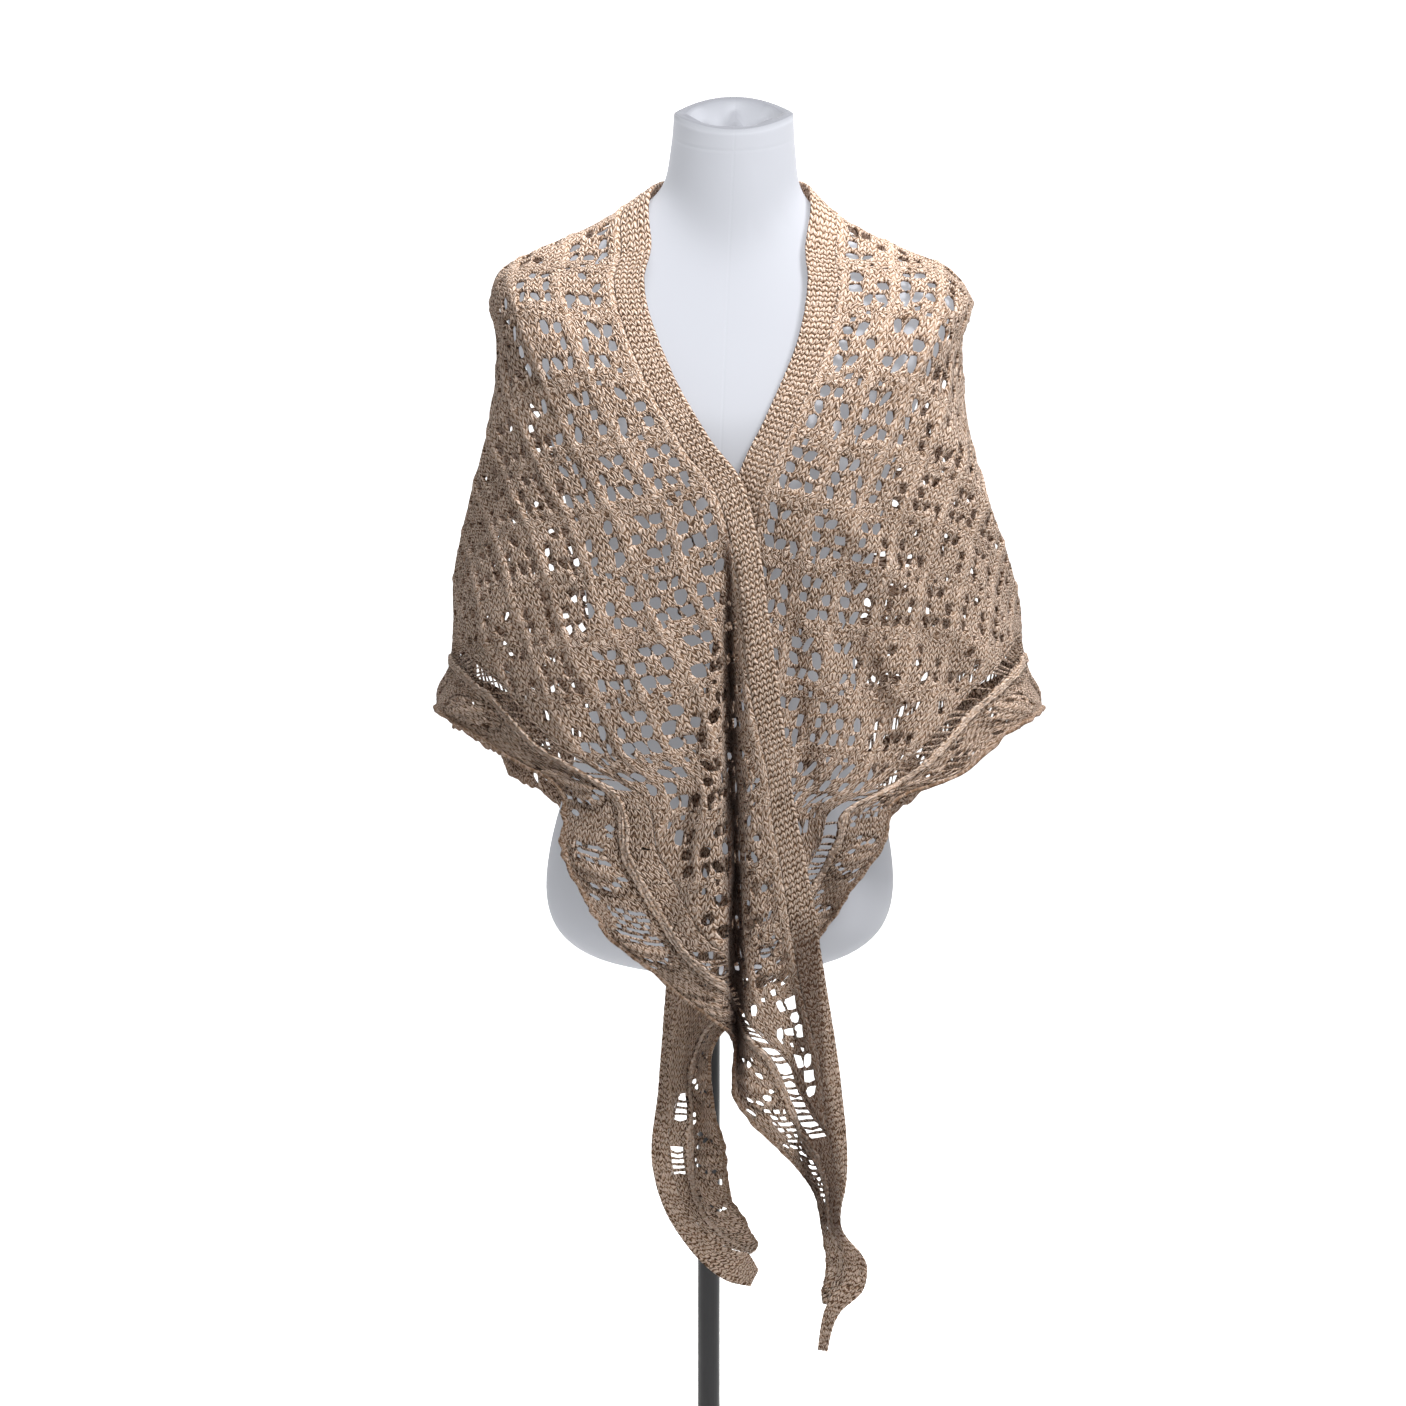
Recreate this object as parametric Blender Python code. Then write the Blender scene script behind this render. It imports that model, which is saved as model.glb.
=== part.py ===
"""Hand-knitted triangular lace shawl worn open round a limbless dress form on its pole and round base.

Metres, +Z up, the front faces -Y. The origin is the centre of the base's underside, on the pole's axis.
Each half of the shawl is laid out flat, with s along its straight top edge from the centre back and t
square to that edge, and is then carried onto the draped surface.
"""

import math

import bmesh
import bpy
import numpy as np

# The flat cut of one half
HALF_SPAN = 1.13
BACK_DEPTH = 0.68
BAND_WIDTH = 0.022
EDGING_DEPTH = 0.0967
SEAM = 0.0003
SLANTED_SEAM = 0.0005
LACE_THICKNESS = 0.0024
BAND_THICKNESS = 0.003
EDGING_THICKNESS = 0.0024
RIDGE_HEIGHT = 0.0012
CABLE_HEIGHT = 0.0016
CABLE_END = 1.0
CABLE_FADE = 0.08
SCALLOP_DEPTH = 0.004
SCALLOP_PITCH = 0.080

# Cells of the lace: the same number along the top edge as down the back, so the hem runs corner to corner
CELLS = 40
EYELET_MARGIN_S = 0.0072
EYELET_MARGIN_T = 0.0046
LADDER_MARGIN_S = 0.0080
LADDER_MARGIN_T = 0.0042
SHORTEST_T_LINE = 0.030
EDGING_CELLS = 38
NARROWEST_ROW = 0.0018
# Down the edging from its seam: the ladder's end, the cable's middle and end, the fans' eyelets, the hem
EDGING_ROWS = (0.0, 0.0235, 0.0282, 0.0330, 0.0620, EDGING_DEPTH - SLANTED_SEAM)
TIP_END = 1.126

# The form and its stand
FORM_FLOOR = 0.560
FORM_CLEARANCE = 0.0052
LEAN_LOW = 0.008
LEAN_HIGH = 0.021
LEAN_TOP_Z = 1.300
POLE_RADIUS = 0.0095
COLLAR_RADIUS = 0.028
COLLAR_HEIGHT = 0.014
BASE_RADIUS = 0.170
BASE_HEIGHT = 0.014
BASE_EDGE = 0.004
BOSS_RADIUS = 0.020
BOSS_HEIGHT = 0.026
NECK_RIM = 0.009
NECK_HOLLOW = 0.012
HOLLOW_TAPER = 0.8
BASE_SIDES = 40
POLE_SIDES = 24
FIT = 0.0003

# The drape, from the neck outwards. Half widths and height at the sides, then reach and height in front
# and at the back, against the path length walked from the neck.
DRAPE_COLUMNS = ("path", "left_x", "right_x", "side_z", "front_y", "front_z", "back_y", "back_z")
DRAPE = (
    (0.000, 0.0600, 0.0590, 1.222, 0.056, 1.176, 0.060, 1.232),
    (0.038, 0.0980, 0.0860, 1.197, 0.070, 1.141, 0.078, 1.204),
    (0.070, 0.1270, 0.1130, 1.181, 0.083, 1.111, 0.092, 1.176),
    (0.113, 0.1660, 0.1500, 1.164, 0.100, 1.072, 0.106, 1.136),
    (0.153, 0.1960, 0.1870, 1.144, 0.114, 1.035, 0.115, 1.098),
    (0.172, 0.2005, 0.1995, 1.126, 0.119, 1.018, 0.118, 1.080),
    (0.206, 0.1960, 0.1950, 1.094, 0.126, 0.986, 0.121, 1.047),
    (0.257, 0.1980, 0.1980, 1.043, 0.132, 0.935, 0.124, 0.997),
    (0.344, 0.2120, 0.2206, 0.958, 0.138, 0.848, 0.126, 0.910),
    (0.431, 0.2270, 0.2430, 0.873, 0.141, 0.761, 0.128, 0.823),
    (0.483, 0.2310, 0.2550, 0.822, 0.142, 0.710, 0.130, 0.772),
    (0.530, 0.2430, 0.2710, 0.778, 0.142, 0.662, 0.134, 0.725),
    (0.700, 0.2500, 0.2800, 0.610, 0.142, 0.492, 0.148, 0.556),
    (1.050, 0.2500, 0.2800, 0.260, 0.142, 0.142, 0.150, 0.206),
)

# The top edge over the shoulders, which both halves share: s, angle from the front in degrees, path
NECK_COLUMNS = ("s", "angle", "path")
NECK_LINE = (
    (0.000, 180.0, 0.0),
    (0.045, 137.0, 0.0),
    (0.085, 100.0, 0.0),
)
# Each half's top edge from the front of the shoulder to its tip: s, x, z, and how far it stands forward
EDGE_COLUMNS = ("s", "x", "z", "forward")
LEFT_EDGE = (
    (0.145, -0.0480, 1.173, 0.000),
    (0.185, -0.0535, 1.140, 0.000),
    (0.243, -0.0417, 1.090, 0.000),
    (0.303, -0.0188, 1.041, 0.001),
    (0.347, 0.0023, 1.007, 0.003),
    (0.385, 0.0241, 0.979, 0.0045),
    (0.430, 0.0369, 0.937, 0.010),
    (0.501, 0.0473, 0.869, 0.016),
    (0.604, 0.0609, 0.769, 0.022),
    (0.780, 0.0896, 0.599, 0.026),
    (0.891, 0.1062, 0.491, 0.026),
    (0.976, 0.1116, 0.408, 0.026),
    (1.012, 0.1075, 0.371, 0.030),
    (1.050, 0.1290, 0.336, 0.024),
    (1.073, 0.1250, 0.313, 0.022),
    (1.093, 0.1080, 0.298, 0.022),
    (1.130, 0.0955, 0.262, 0.022),
)
RIGHT_EDGE = (
    (0.145, 0.0801, 1.173, 0.000),
    (0.185, 0.0813, 1.140, 0.000),
    (0.243, 0.0725, 1.090, 0.000),
    (0.302, 0.0526, 1.041, 0.000),
    (0.345, 0.0347, 1.005, -0.001),
    (0.376, 0.0233, 0.979, -0.003),
    (0.429, 0.0153, 0.928, -0.013),
    (0.488, 0.0080, 0.871, -0.024),
    (0.600, -0.0083, 0.765, -0.030),
    (0.790, -0.0330, 0.582, -0.030),
    (0.903, -0.0413, 0.474, -0.030),
    (0.968, -0.0464, 0.411, -0.030),
    (1.002, -0.0381, 0.379, -0.030),
    (1.055, -0.0100, 0.335, -0.028),
    (1.090, 0.0125, 0.317, -0.024),
    (1.130, 0.0370, 0.313, -0.018),
)
# Each half's hem round the back to the side: s, angle, path. Both halves share it.
BACK_HEM_COLUMNS = ("s", "angle", "path")
BACK_HEM = (
    (0.000, 180.0, 0.690),
    (0.080, 166.0, 0.650),
    (0.200, 146.0, 0.595),
    (0.300, 128.0, 0.562),
    (0.400, 110.0, 0.542),
    (0.460, 99.0, 0.534),
    (0.510, 90.0, 0.530),
)
# The hem in front, from the side to the tip
LEFT_HEM = (
    (0.592, -0.1723, 0.752, 0.000),
    (0.614, -0.1342, 0.735, 0.004),
    (0.672, -0.1200, 0.680, 0.006),
    (0.742, -0.0880, 0.615, 0.010),
    (0.792, -0.0450, 0.577, 0.014),
    (0.855, 0.0144, 0.529, 0.020),
    (0.914, 0.0250, 0.469, 0.020),
    (0.953, 0.0617, 0.430, 0.016),
    (1.000, 0.0890, 0.389, 0.012),
    (1.018, 0.0925, 0.368, 0.012),
    (1.056, 0.0960, 0.335, 0.010),
    (1.094, 0.0900, 0.296, 0.012),
    (1.130, 0.0870, 0.262, 0.016),
)
RIGHT_HEM = (
    (0.584, 0.2412, 0.759, 0.000),
    (0.612, 0.2064, 0.734, 0.000),
    (0.640, 0.1536, 0.714, -0.002),
    (0.666, 0.1470, 0.690, -0.004),
    (0.735, 0.1113, 0.634, -0.012),
    (0.790, 0.0800, 0.588, -0.022),
    (0.862, 0.0070, 0.517, -0.026),
    (0.945, 0.0115, 0.433, -0.026),
    (1.000, 0.0190, 0.387, -0.024),
    (1.045, 0.0320, 0.362, -0.022),
    (1.090, 0.0420, 0.345, -0.018),
    (1.130, 0.0430, 0.330, -0.014),
)
# How far the middle of a t line bows from the straight way between edge and hem: s, angle, path
BOW_COLUMNS = ("s", "angle", "path")
BOW = (
    (0.000, 0.0, 0.000),
    (0.040, 10.0, 0.000),
    (0.080, 21.0, -0.010),
    (0.200, 20.0, -0.045),
    (0.300, 13.0, -0.020),
    (0.400, 10.0, -0.015),
    (0.510, 0.0, -0.015),
    (0.620, 0.0, 0.000),
    (1.130, 0.0, 0.000),
)

# Folds in front: where each starts and ends, how deep it sinks and half its width
FOLD_COLUMNS = ("top_x", "top_z", "low_x", "low_z", "depth", "half_width")
LEFT_FOLDS = (
    (0.0150, 0.930, 0.0240, 0.480, 0.023, 0.0130),
    (0.0560, 0.650, 0.0790, 0.360, 0.010, 0.0100),
    (0.0020, 0.960, -0.0505, 0.460, 0.007, 0.0140),
    (-0.0300, 0.975, -0.1530, 0.600, 0.006, 0.0180),
    (-0.0750, 1.020, -0.2340, 0.660, 0.006, 0.0200),
)
RIGHT_FOLDS = (
    (0.0520, 0.960, 0.1070, 0.500, 0.008, 0.0140),
    (0.0850, 0.985, 0.1930, 0.600, 0.007, 0.0180),
    (0.1150, 1.020, 0.2780, 0.640, 0.006, 0.0200),
    (-0.0060, 0.600, -0.0125, 0.330, 0.014, 0.0110),
)
FOLD_RAMP = 0.120
FOLD_FADE = 0.100
FLUTES = 4
FLUTE_DEPTH = 0.013
FLUTE_START = 0.240
FLUTE_FULL = 0.560

# The form: half width and height at the sides, then reach and height in front and at the back
FORM_COLUMNS = ("side_x", "side_z", "front_y", "front_z", "back_y", "back_z")
FORM_BELOW_SHOULDERS = (
    (0.1800, 1.085, 0.1150, 0.990, 0.1130, 1.040),
    (0.1600, 1.045, 0.1130, 0.965, 0.1120, 0.990),
    (0.1450, 0.990, 0.1090, 0.935, 0.1060, 0.940),
    (0.1280, 0.920, 0.1020, 0.895, 0.096, 0.895),
    (0.1130, 0.850, 0.0880, 0.840, 0.086, 0.840),
    (0.1110, 0.800, 0.0850, 0.795, 0.086, 0.795),
    (0.1240, 0.740, 0.0920, 0.735, 0.096, 0.735),
    (0.1430, 0.685, 0.1010, 0.680, 0.107, 0.680),
    (0.1510, 0.635, 0.1050, 0.635, 0.111, 0.635),
    (0.1470, 0.605, 0.1030, 0.605, 0.108, 0.605),
    (0.1350, 0.585, 0.0960, 0.585, 0.100, 0.585),
    (0.1100, 0.568, 0.0820, 0.568, 0.084, 0.568),
    (0.0700, 0.560, 0.0550, 0.560, 0.056, 0.560),
)
FORM_NECK = (
    (0.0505, 1.287, 0.0490, 1.276, 0.050, 1.299),
    (0.0515, 1.262, 0.0495, 1.246, 0.051, 1.272),
    (0.0540, 1.236, 0.0515, 1.206, 0.054, 1.246),
)
FORM_SHOULDER_PATHS = (0.004, 0.038, 0.070, 0.113, 0.150, 0.169)
FORM_SIDES = 28

# How finely the drape is worked out: lines along s, points down each and how far past the hem they run,
# then the steps that a line is walked in, and the points along the drape's paths
S_LINES = 420
T_POINTS = 200
PAST_HEM = 1.15
WALK_POINTS = 800
WALK_END = 1.5
PATH_POINTS = 1200


def column(table, columns, name):
    return np.array([row[columns.index(name)] for row in table])


def smooth(where, stations, values):
    """A smooth curve through the table's rows, read at the given places."""
    slopes = np.gradient(values, stations)
    index = np.clip(np.searchsorted(stations, where) - 1, 0, len(stations) - 2)
    step = stations[index + 1] - stations[index]
    along = (where - stations[index]) / step
    rise = values[index + 1] - values[index]
    start, end = slopes[index] * step, slopes[index + 1] * step
    bend = start + end - 2 * rise
    return values[index] + along * (start + along * (3 * rise - 2 * start - end + along * bend))


def lean(z):
    return LEAN_LOW + (LEAN_HIGH - LEAN_LOW) * (z - FORM_FLOOR) / (LEAN_TOP_Z - FORM_FLOOR)


def ramp(value):
    value = np.clip(value, 0, 1)
    return value * value * (3 - 2 * value)


def drape_value(path, name):
    return smooth(path, column(DRAPE, DRAPE_COLUMNS, "path"), column(DRAPE, DRAPE_COLUMNS, name))


def height_at(angle, path):
    side = np.sin(angle) ** 2
    ends = np.where(np.cos(angle) > 0, drape_value(path, "front_z"), drape_value(path, "back_z"))
    return drape_value(path, "side_z") * side + ends * (1 - side)


def angle_and_path(x, z, wing):
    """Where a point of the front, given by x and z, lies on the drape."""
    width = "left_x" if wing < 0 else "right_x"
    paths = np.linspace(0, DRAPE[-1][0], PATH_POINTS)
    sine = np.clip(wing * (x - lean(z)) / drape_value(paths, width), -1, 1)
    angle = np.arcsin(sine)
    best = int(np.argmin(np.abs(height_at(angle, paths) - z)))
    return angle[best], paths[best]


class Wing:
    """One half of the shawl: -1 is the half at the left of the front view, +1 the half at its right."""

    def __init__(self, wing):
        self.wing = wing
        self.folds = LEFT_FOLDS if wing < 0 else RIGHT_FOLDS
        front_edge = LEFT_EDGE if wing < 0 else RIGHT_EDGE
        front_hem = LEFT_HEM if wing < 0 else RIGHT_HEM
        self.edge = self.stations(NECK_LINE, front_edge)
        self.hem = self.stations(BACK_HEM, front_hem)
        self.s_lines = np.linspace(0, HALF_SPAN, S_LINES)
        self.t_shares = np.linspace(0, PAST_HEM, T_POINTS)
        self.points = np.array([self.t_line(s) for s in self.s_lines])
        self.normals = self.surface_normals()

    def stations(self, behind, front):
        rows = [(s, math.radians(angle), path, 0.0) for s, angle, path in behind]
        for s, x, z, forward in front:
            angle, path = angle_and_path(x, z, self.wing)
            rows.append((s, angle, path, forward))
        return np.array(rows)

    def place(self, angle, path, forward):
        """The folded surface at an angle from the front and a path length from the neck."""
        z = height_at(angle, path)
        half = drape_value(path, "left_x" if self.wing < 0 else "right_x")
        front = np.cos(angle) > 0
        reach = np.where(front, -drape_value(path, "front_y"), drape_value(path, "back_y"))
        x = lean(z) + self.wing * half * np.sin(angle)
        y = reach * np.abs(np.cos(angle)) - forward
        sink = self.front_sink(x, z) * front
        behind = np.clip(angle - math.pi / 2, 0, None) / (math.pi / 2)
        flute = 0.5 - 0.5 * np.cos(2 * math.pi * FLUTES * behind)
        fluted = flute * FLUTE_DEPTH * ramp((path - FLUTE_START) / (FLUTE_FULL - FLUTE_START))
        inward_x = -self.wing * np.sin(angle)
        inward_y = np.where(front, 1.0, np.cos(angle))
        x = x + inward_x * fluted
        y = y + sink + inward_y * fluted
        return np.stack([x, y, z], axis=-1)

    def front_sink(self, x, z):
        total = np.zeros_like(x)
        for top_x, top_z, low_x, low_z, depth, half_width in self.folds:
            middle = top_x + (low_x - top_x) * (top_z - z) / (top_z - low_z)
            profile = np.exp(-(((x - middle) / half_width) ** 2))
            total += depth * profile * ramp((top_z - z) / FOLD_RAMP) * ramp((z - low_z) / FOLD_FADE)
        return total

    def t_line(self, s):
        """One line of the cloth from the top edge to the hem, its points evenly spaced."""
        edge = [smooth(np.array([s]), self.edge[:, 0], self.edge[:, i])[0] for i in (1, 2, 3)]
        hem = [smooth(np.array([s]), self.hem[:, 0], self.hem[:, i])[0] for i in (1, 2, 3)]
        bow_s = column(BOW, BOW_COLUMNS, "s")
        bow = [
            math.radians(smooth(np.array([s]), bow_s, column(BOW, BOW_COLUMNS, "angle"))[0]),
            smooth(np.array([s]), bow_s, column(BOW, BOW_COLUMNS, "path"))[0],
            0.0,
        ]
        share = np.linspace(0, WALK_END, WALK_POINTS)
        way = [e + (h - e) * share + b * 4 * share * (1 - share) for e, h, b in zip(edge, hem, bow)]
        points = self.place(*way)
        steps = np.linalg.norm(np.diff(points, axis=0), axis=1)
        walked = np.concatenate([[0], np.cumsum(steps)])
        whole = np.interp(1.0, share, walked)
        wanted = self.t_shares * whole
        return np.stack([np.interp(wanted, walked, points[:, i]) for i in range(3)], axis=1)

    def surface_normals(self):
        along_s = np.gradient(self.points, axis=0)
        along_t = np.gradient(self.points, axis=1)
        normal = self.wing * np.cross(along_s, along_t)
        for _ in range(3):
            normal[1:-1] = (normal[:-2] + 2 * normal[1:-1] + normal[2:]) / 4
        return normal / np.linalg.norm(normal, axis=-1, keepdims=True)

    def at(self, s, t):
        """Points and outward normals of the draped cloth for flat points s, t."""
        row = np.clip(s / HALF_SPAN, 0, 1) * (len(self.s_lines) - 1)
        share = np.clip(t / reach_at(s) / self.t_shares[-1], 0, 1) * (len(self.t_shares) - 1)
        i = np.minimum(row.astype(int), len(self.s_lines) - 2)
        j = np.minimum(share.astype(int), len(self.t_shares) - 2)
        a = (row - i)[:, None]
        b = (share - j)[:, None]
        found = []
        for grid in (self.points, self.normals):
            low = grid[i, j] * (1 - b) + grid[i, j + 1] * b
            high = grid[i + 1, j] * (1 - b) + grid[i + 1, j + 1] * b
            found.append(low * (1 - a) + high * a)
        points, normals = found
        return points, normals / np.linalg.norm(normals, axis=1, keepdims=True)


def hem_depth(s):
    return BACK_DEPTH * (1 - s / HALF_SPAN)


def reach_at(s):
    return np.maximum(hem_depth(s), SHORTEST_T_LINE)


def make_material(name, colour, roughness, metallic=0.0):
    material = bpy.data.materials.new(name)
    material.use_nodes = True
    shader = material.node_tree.nodes["Principled BSDF"]
    shader.inputs["Base Color"].default_value = (*colour, 1)
    shader.inputs["Roughness"].default_value = roughness
    shader.inputs["Metallic"].default_value = metallic
    material.diffuse_color = (*colour, 1)
    return material


def add_object(name, mesh, material):
    mesh.materials.append(material)
    mesh.shade_smooth()
    mesh.set_sharp_from_angle(angle=math.radians(40))
    thing = bpy.data.objects.new(name, mesh)
    bpy.context.collection.objects.link(thing)
    return thing


def weights(u, v):
    """Shares of a four-sided face's corners at a place u along s and v along t inside it."""
    return ((1 - u) * (1 - v), u * (1 - v), u * v, (1 - u) * v)


def flat_mesh(corners, faces, holes=(), margins=(0.0, 0.0)):
    """A flat piece in s and t, with a four-sided gap inside each face named in holes.

    The gap's own corners are shares of the face's corners, so they stay inside it once it is draped."""
    points = np.array(corners)
    shares = [[(i, 1.0)] for i in range(len(points))]
    kept = []
    for index, face in enumerate(faces):
        if index not in holes:
            kept.append(face)
            continue
        a, b, c, d = points[list(face)]
        u = margins[0] / (b[0] - a[0])
        v = margins[1] / ((c[1] - b[1] + d[1] - a[1]) / 2)
        ring = []
        for place in ((u, v), (1 - u, v), (1 - u, 1 - v), (u, 1 - v)):
            ring.append(len(shares))
            shares.append(list(zip(face, weights(*place))))
        for k in range(4):
            after = (k + 1) % 4
            kept.append((face[k], face[after], ring[after], ring[k]))
    return points, kept, shares


def spread(values, shares):
    """Values at the corners, and at the gaps' corners from their shares."""
    return np.array([sum(values[i] * share for i, share in row) for row in shares])


def split(face, middle):
    """Cuts a four-sided face along its shorter way across, so that both skins of a wall fold alike."""
    if len(face) == 3:
        return [face]
    a, b, c, d = face
    if np.linalg.norm(middle[a] - middle[c]) <= np.linalg.norm(middle[b] - middle[d]):
        return [(a, b, c), (a, c, d)]
    return [(a, b, d), (b, c, d)]


def drape_slab(name, wing, flat, thickness, raised, material):
    """Gives a flat piece its draped place and its thickness. Only the outer points are raised."""
    corners, faces, shares = flat
    middle, normal = wing.at(corners[:, 0], corners[:, 1])
    points = spread(corners, shares)
    middle = spread(middle, shares)
    normal = spread(normal, shares)
    normal /= np.linalg.norm(normal, axis=1, keepdims=True)
    outer = middle + normal * (thickness / 2 + spread(raised, shares))[:, None]
    inner = middle - normal * thickness / 2
    count = len(points)
    built = bmesh.new()
    for place in np.concatenate([outer, inner]):
        built.verts.new(place)
    built.verts.ensure_lookup_table()
    triangles = []
    sides = set()
    for face in faces:
        for here, after in zip(face, face[1:] + face[:1]):
            sides.symmetric_difference_update([frozenset((here, after))])
        for triangle in split(face, middle):
            triangles.append(triangle)
            triangles.append([i + count for i in reversed(triangle)])
    for side in sorted(sorted(ends, key=lambda i: tuple(points[i])) for ends in sides):
        low, high = side
        triangles.append((low, high, high + count))
        triangles.append((low, high + count, low + count))
    for triangle in triangles:
        built.faces.new([built.verts[i] for i in triangle])
    loose = [vertex for vertex in built.verts if not vertex.link_faces]
    bmesh.ops.delete(built, geom=loose, context="VERTS")
    bmesh.ops.recalc_face_normals(built, faces=built.faces)
    mesh = bpy.data.meshes.new(name)
    built.to_mesh(mesh)
    built.free()
    return add_object(name, mesh, material)


def s_station(index):
    return index * HALF_SPAN / CELLS + (SEAM / 2 if index == 0 else 0)


def neck_band(wing, material, name):
    """Garter-stitch band: three raised ridges along the whole top edge."""
    across = 6
    stations = [s_station(i) for i in range(CELLS)] + [TIP_END]
    corners = [(s, j * BAND_WIDTH / across) for s in stations for j in range(across + 1)]
    width = across + 1
    faces = []
    for i in range(len(stations) - 1):
        for j in range(across):
            first = i * width + j
            faces.append((first, first + width, first + width + 1, first + 1))
    raised = [RIDGE_HEIGHT * (j % 2) for s in stations for j in range(across + 1)]
    return drape_slab(name, wing, flat_mesh(corners, faces), BAND_THICKNESS, raised, material)


def lace_panel(wing, material, name):
    """The openwork body: one large eyelet is cut through in each repeat of the lace."""
    step_t = BACK_DEPTH / CELLS
    top = BAND_WIDTH + SEAM
    count = round((BACK_DEPTH - top - EDGING_DEPTH) / step_t)
    numbers = {}
    corners = []
    for i in range(count + 1):
        for j in range(count + 1 - i):
            numbers[(i, j)] = len(corners)
            corners.append((s_station(i), top + j * step_t))
    faces = []
    holes = []
    for i in range(count):
        for j in range(count - i):
            face = [(i, j), (i + 1, j), (i + 1, j + 1), (i, j + 1)]
            if i + j == count - 1:
                face = [(i, j), (i + 1, j), (i, j + 1)]
            elif i % 2 == 0 and j % 5 in (1, 3):
                holes.append(len(faces))
            faces.append(tuple(numbers[corner] for corner in face))
    flat = flat_mesh(corners, faces, holes, (EYELET_MARGIN_S, EYELET_MARGIN_T))
    print(name, "eyelets", len(holes))
    return drape_slab(name, wing, flat, LACE_THICKNESS, np.zeros(len(corners)), material)


def edging(wing, material, name):
    """The border along the hem: a ladder of openings, a raised cable, then solid scalloped fans."""
    rows = EDGING_ROWS
    raised_row = 2
    fan_row = 3
    slant = math.hypot(1, BACK_DEPTH / HALF_SPAN)
    stations = [s_station(i) for i in range(EDGING_CELLS + 1)]
    corners = []
    for s in stations:
        top = hem_depth(s) - EDGING_DEPTH + SLANTED_SEAM
        for k, row in enumerate(rows):
            t = top + row
            if k == len(rows) - 1:
                t += SCALLOP_DEPTH * math.cos(2 * math.pi * s * slant / SCALLOP_PITCH)
            corners.append((s, max(t, BAND_WIDTH + SLANTED_SEAM + k * NARROWEST_ROW)))
    width = len(rows)
    ladder = []
    fans = []
    faces = []
    for i in range(len(stations) - 1):
        whole = hem_depth(stations[i + 1]) - EDGING_DEPTH > BAND_WIDTH
        for k in range(width - 1):
            first = i * width + k
            if whole and k == 0:
                ladder.append(len(faces))
            if whole and k == fan_row and i % 5 == 2:
                fans.append(len(faces))
            faces.append((first, first + width, first + width + 1, first + 1))
    print(name, "openings", len(ladder) + len(fans))
    flat = flat_mesh(corners, faces, set(ladder + fans), (LADDER_MARGIN_S, LADDER_MARGIN_T))
    raised = np.zeros(len(corners))
    raised[raised_row::width] = [CABLE_HEIGHT * ramp((CABLE_END - s) / CABLE_FADE) for s in stations]
    return drape_slab(name, wing, flat, EDGING_THICKNESS, raised, material)


def ring(row, columns=FORM_COLUMNS, less=0.0):
    """One closed ring of the form: the same blend of side, front and back that the drape uses."""
    value = dict(zip(columns, row))
    points = []
    for k in range(FORM_SIDES):
        angle = 2 * math.pi * k / FORM_SIDES
        side = math.sin(angle) ** 2
        front = math.cos(angle) > 0
        ends = value["front_z"] if front else value["back_z"]
        z = value["side_z"] * side + ends * (1 - side) - less
        half = value["side_x"] if "side_x" in value else value["left_x" if math.sin(angle) < 0 else "right_x"]
        reach = -value["front_y"] if front else value["back_y"]
        x = lean(z) + (half - less) * math.sin(angle)
        y = math.copysign(abs(reach) - less, reach) * abs(math.cos(angle))
        points.append((x, y, z))
    return points


def dress_form(material):
    """The limbless form: neck with a hollow top, sloping shoulders under the cloth, waist and hips."""
    rings = [ring(row) for row in FORM_NECK]
    for path in FORM_SHOULDER_PATHS:
        row = [path] + [float(drape_value(np.array([path]), name)[0]) for name in DRAPE_COLUMNS[1:]]
        rings.append(ring(row, DRAPE_COLUMNS, FORM_CLEARANCE))
    rings += [ring(row) for row in FORM_BELOW_SHOULDERS]
    top = np.array(rings[0])
    centre = top.mean(axis=0)
    rim = centre + (top - centre) * (1 - NECK_RIM / FORM_NECK[0][0])
    floor = rim - np.array([0, 0, NECK_HOLLOW])
    floor = floor.mean(axis=0) + (floor - floor.mean(axis=0)) * HOLLOW_TAPER
    rings = [floor.tolist(), rim.tolist()] + rings
    built = bmesh.new()
    loops = []
    for points in rings:
        loops.append([built.verts.new(point) for point in points])
    for upper, lower in zip(loops, loops[1:]):
        for k in range(FORM_SIDES):
            after = (k + 1) % FORM_SIDES
            built.faces.new((upper[k], upper[after], lower[after], lower[k]))
    built.faces.new(loops[0])
    built.faces.new(loops[-1])
    bmesh.ops.recalc_face_normals(built, faces=built.faces)
    mesh = bpy.data.meshes.new("form_torso")
    built.to_mesh(mesh)
    built.free()
    return add_object("form_torso", mesh, material)


def turned(name, profile, segments, material):
    """A solid of revolution about the pole's axis from a profile of (radius, z), bottom to top."""
    built = bmesh.new()
    loops = []
    for radius, z in profile:
        circle = []
        for k in range(segments):
            angle = 2 * math.pi * k / segments
            circle.append(built.verts.new((radius * math.cos(angle), radius * math.sin(angle), z)))
        loops.append(circle)
    for lower, upper in zip(loops, loops[1:]):
        for k in range(segments):
            after = (k + 1) % segments
            built.faces.new((lower[k], lower[after], upper[after], upper[k]))
    built.faces.new(loops[0])
    built.faces.new(loops[-1])
    bmesh.ops.recalc_face_normals(built, faces=built.faces)
    mesh = bpy.data.meshes.new(name)
    built.to_mesh(mesh)
    built.free()
    return add_object(name, mesh, material)


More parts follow.
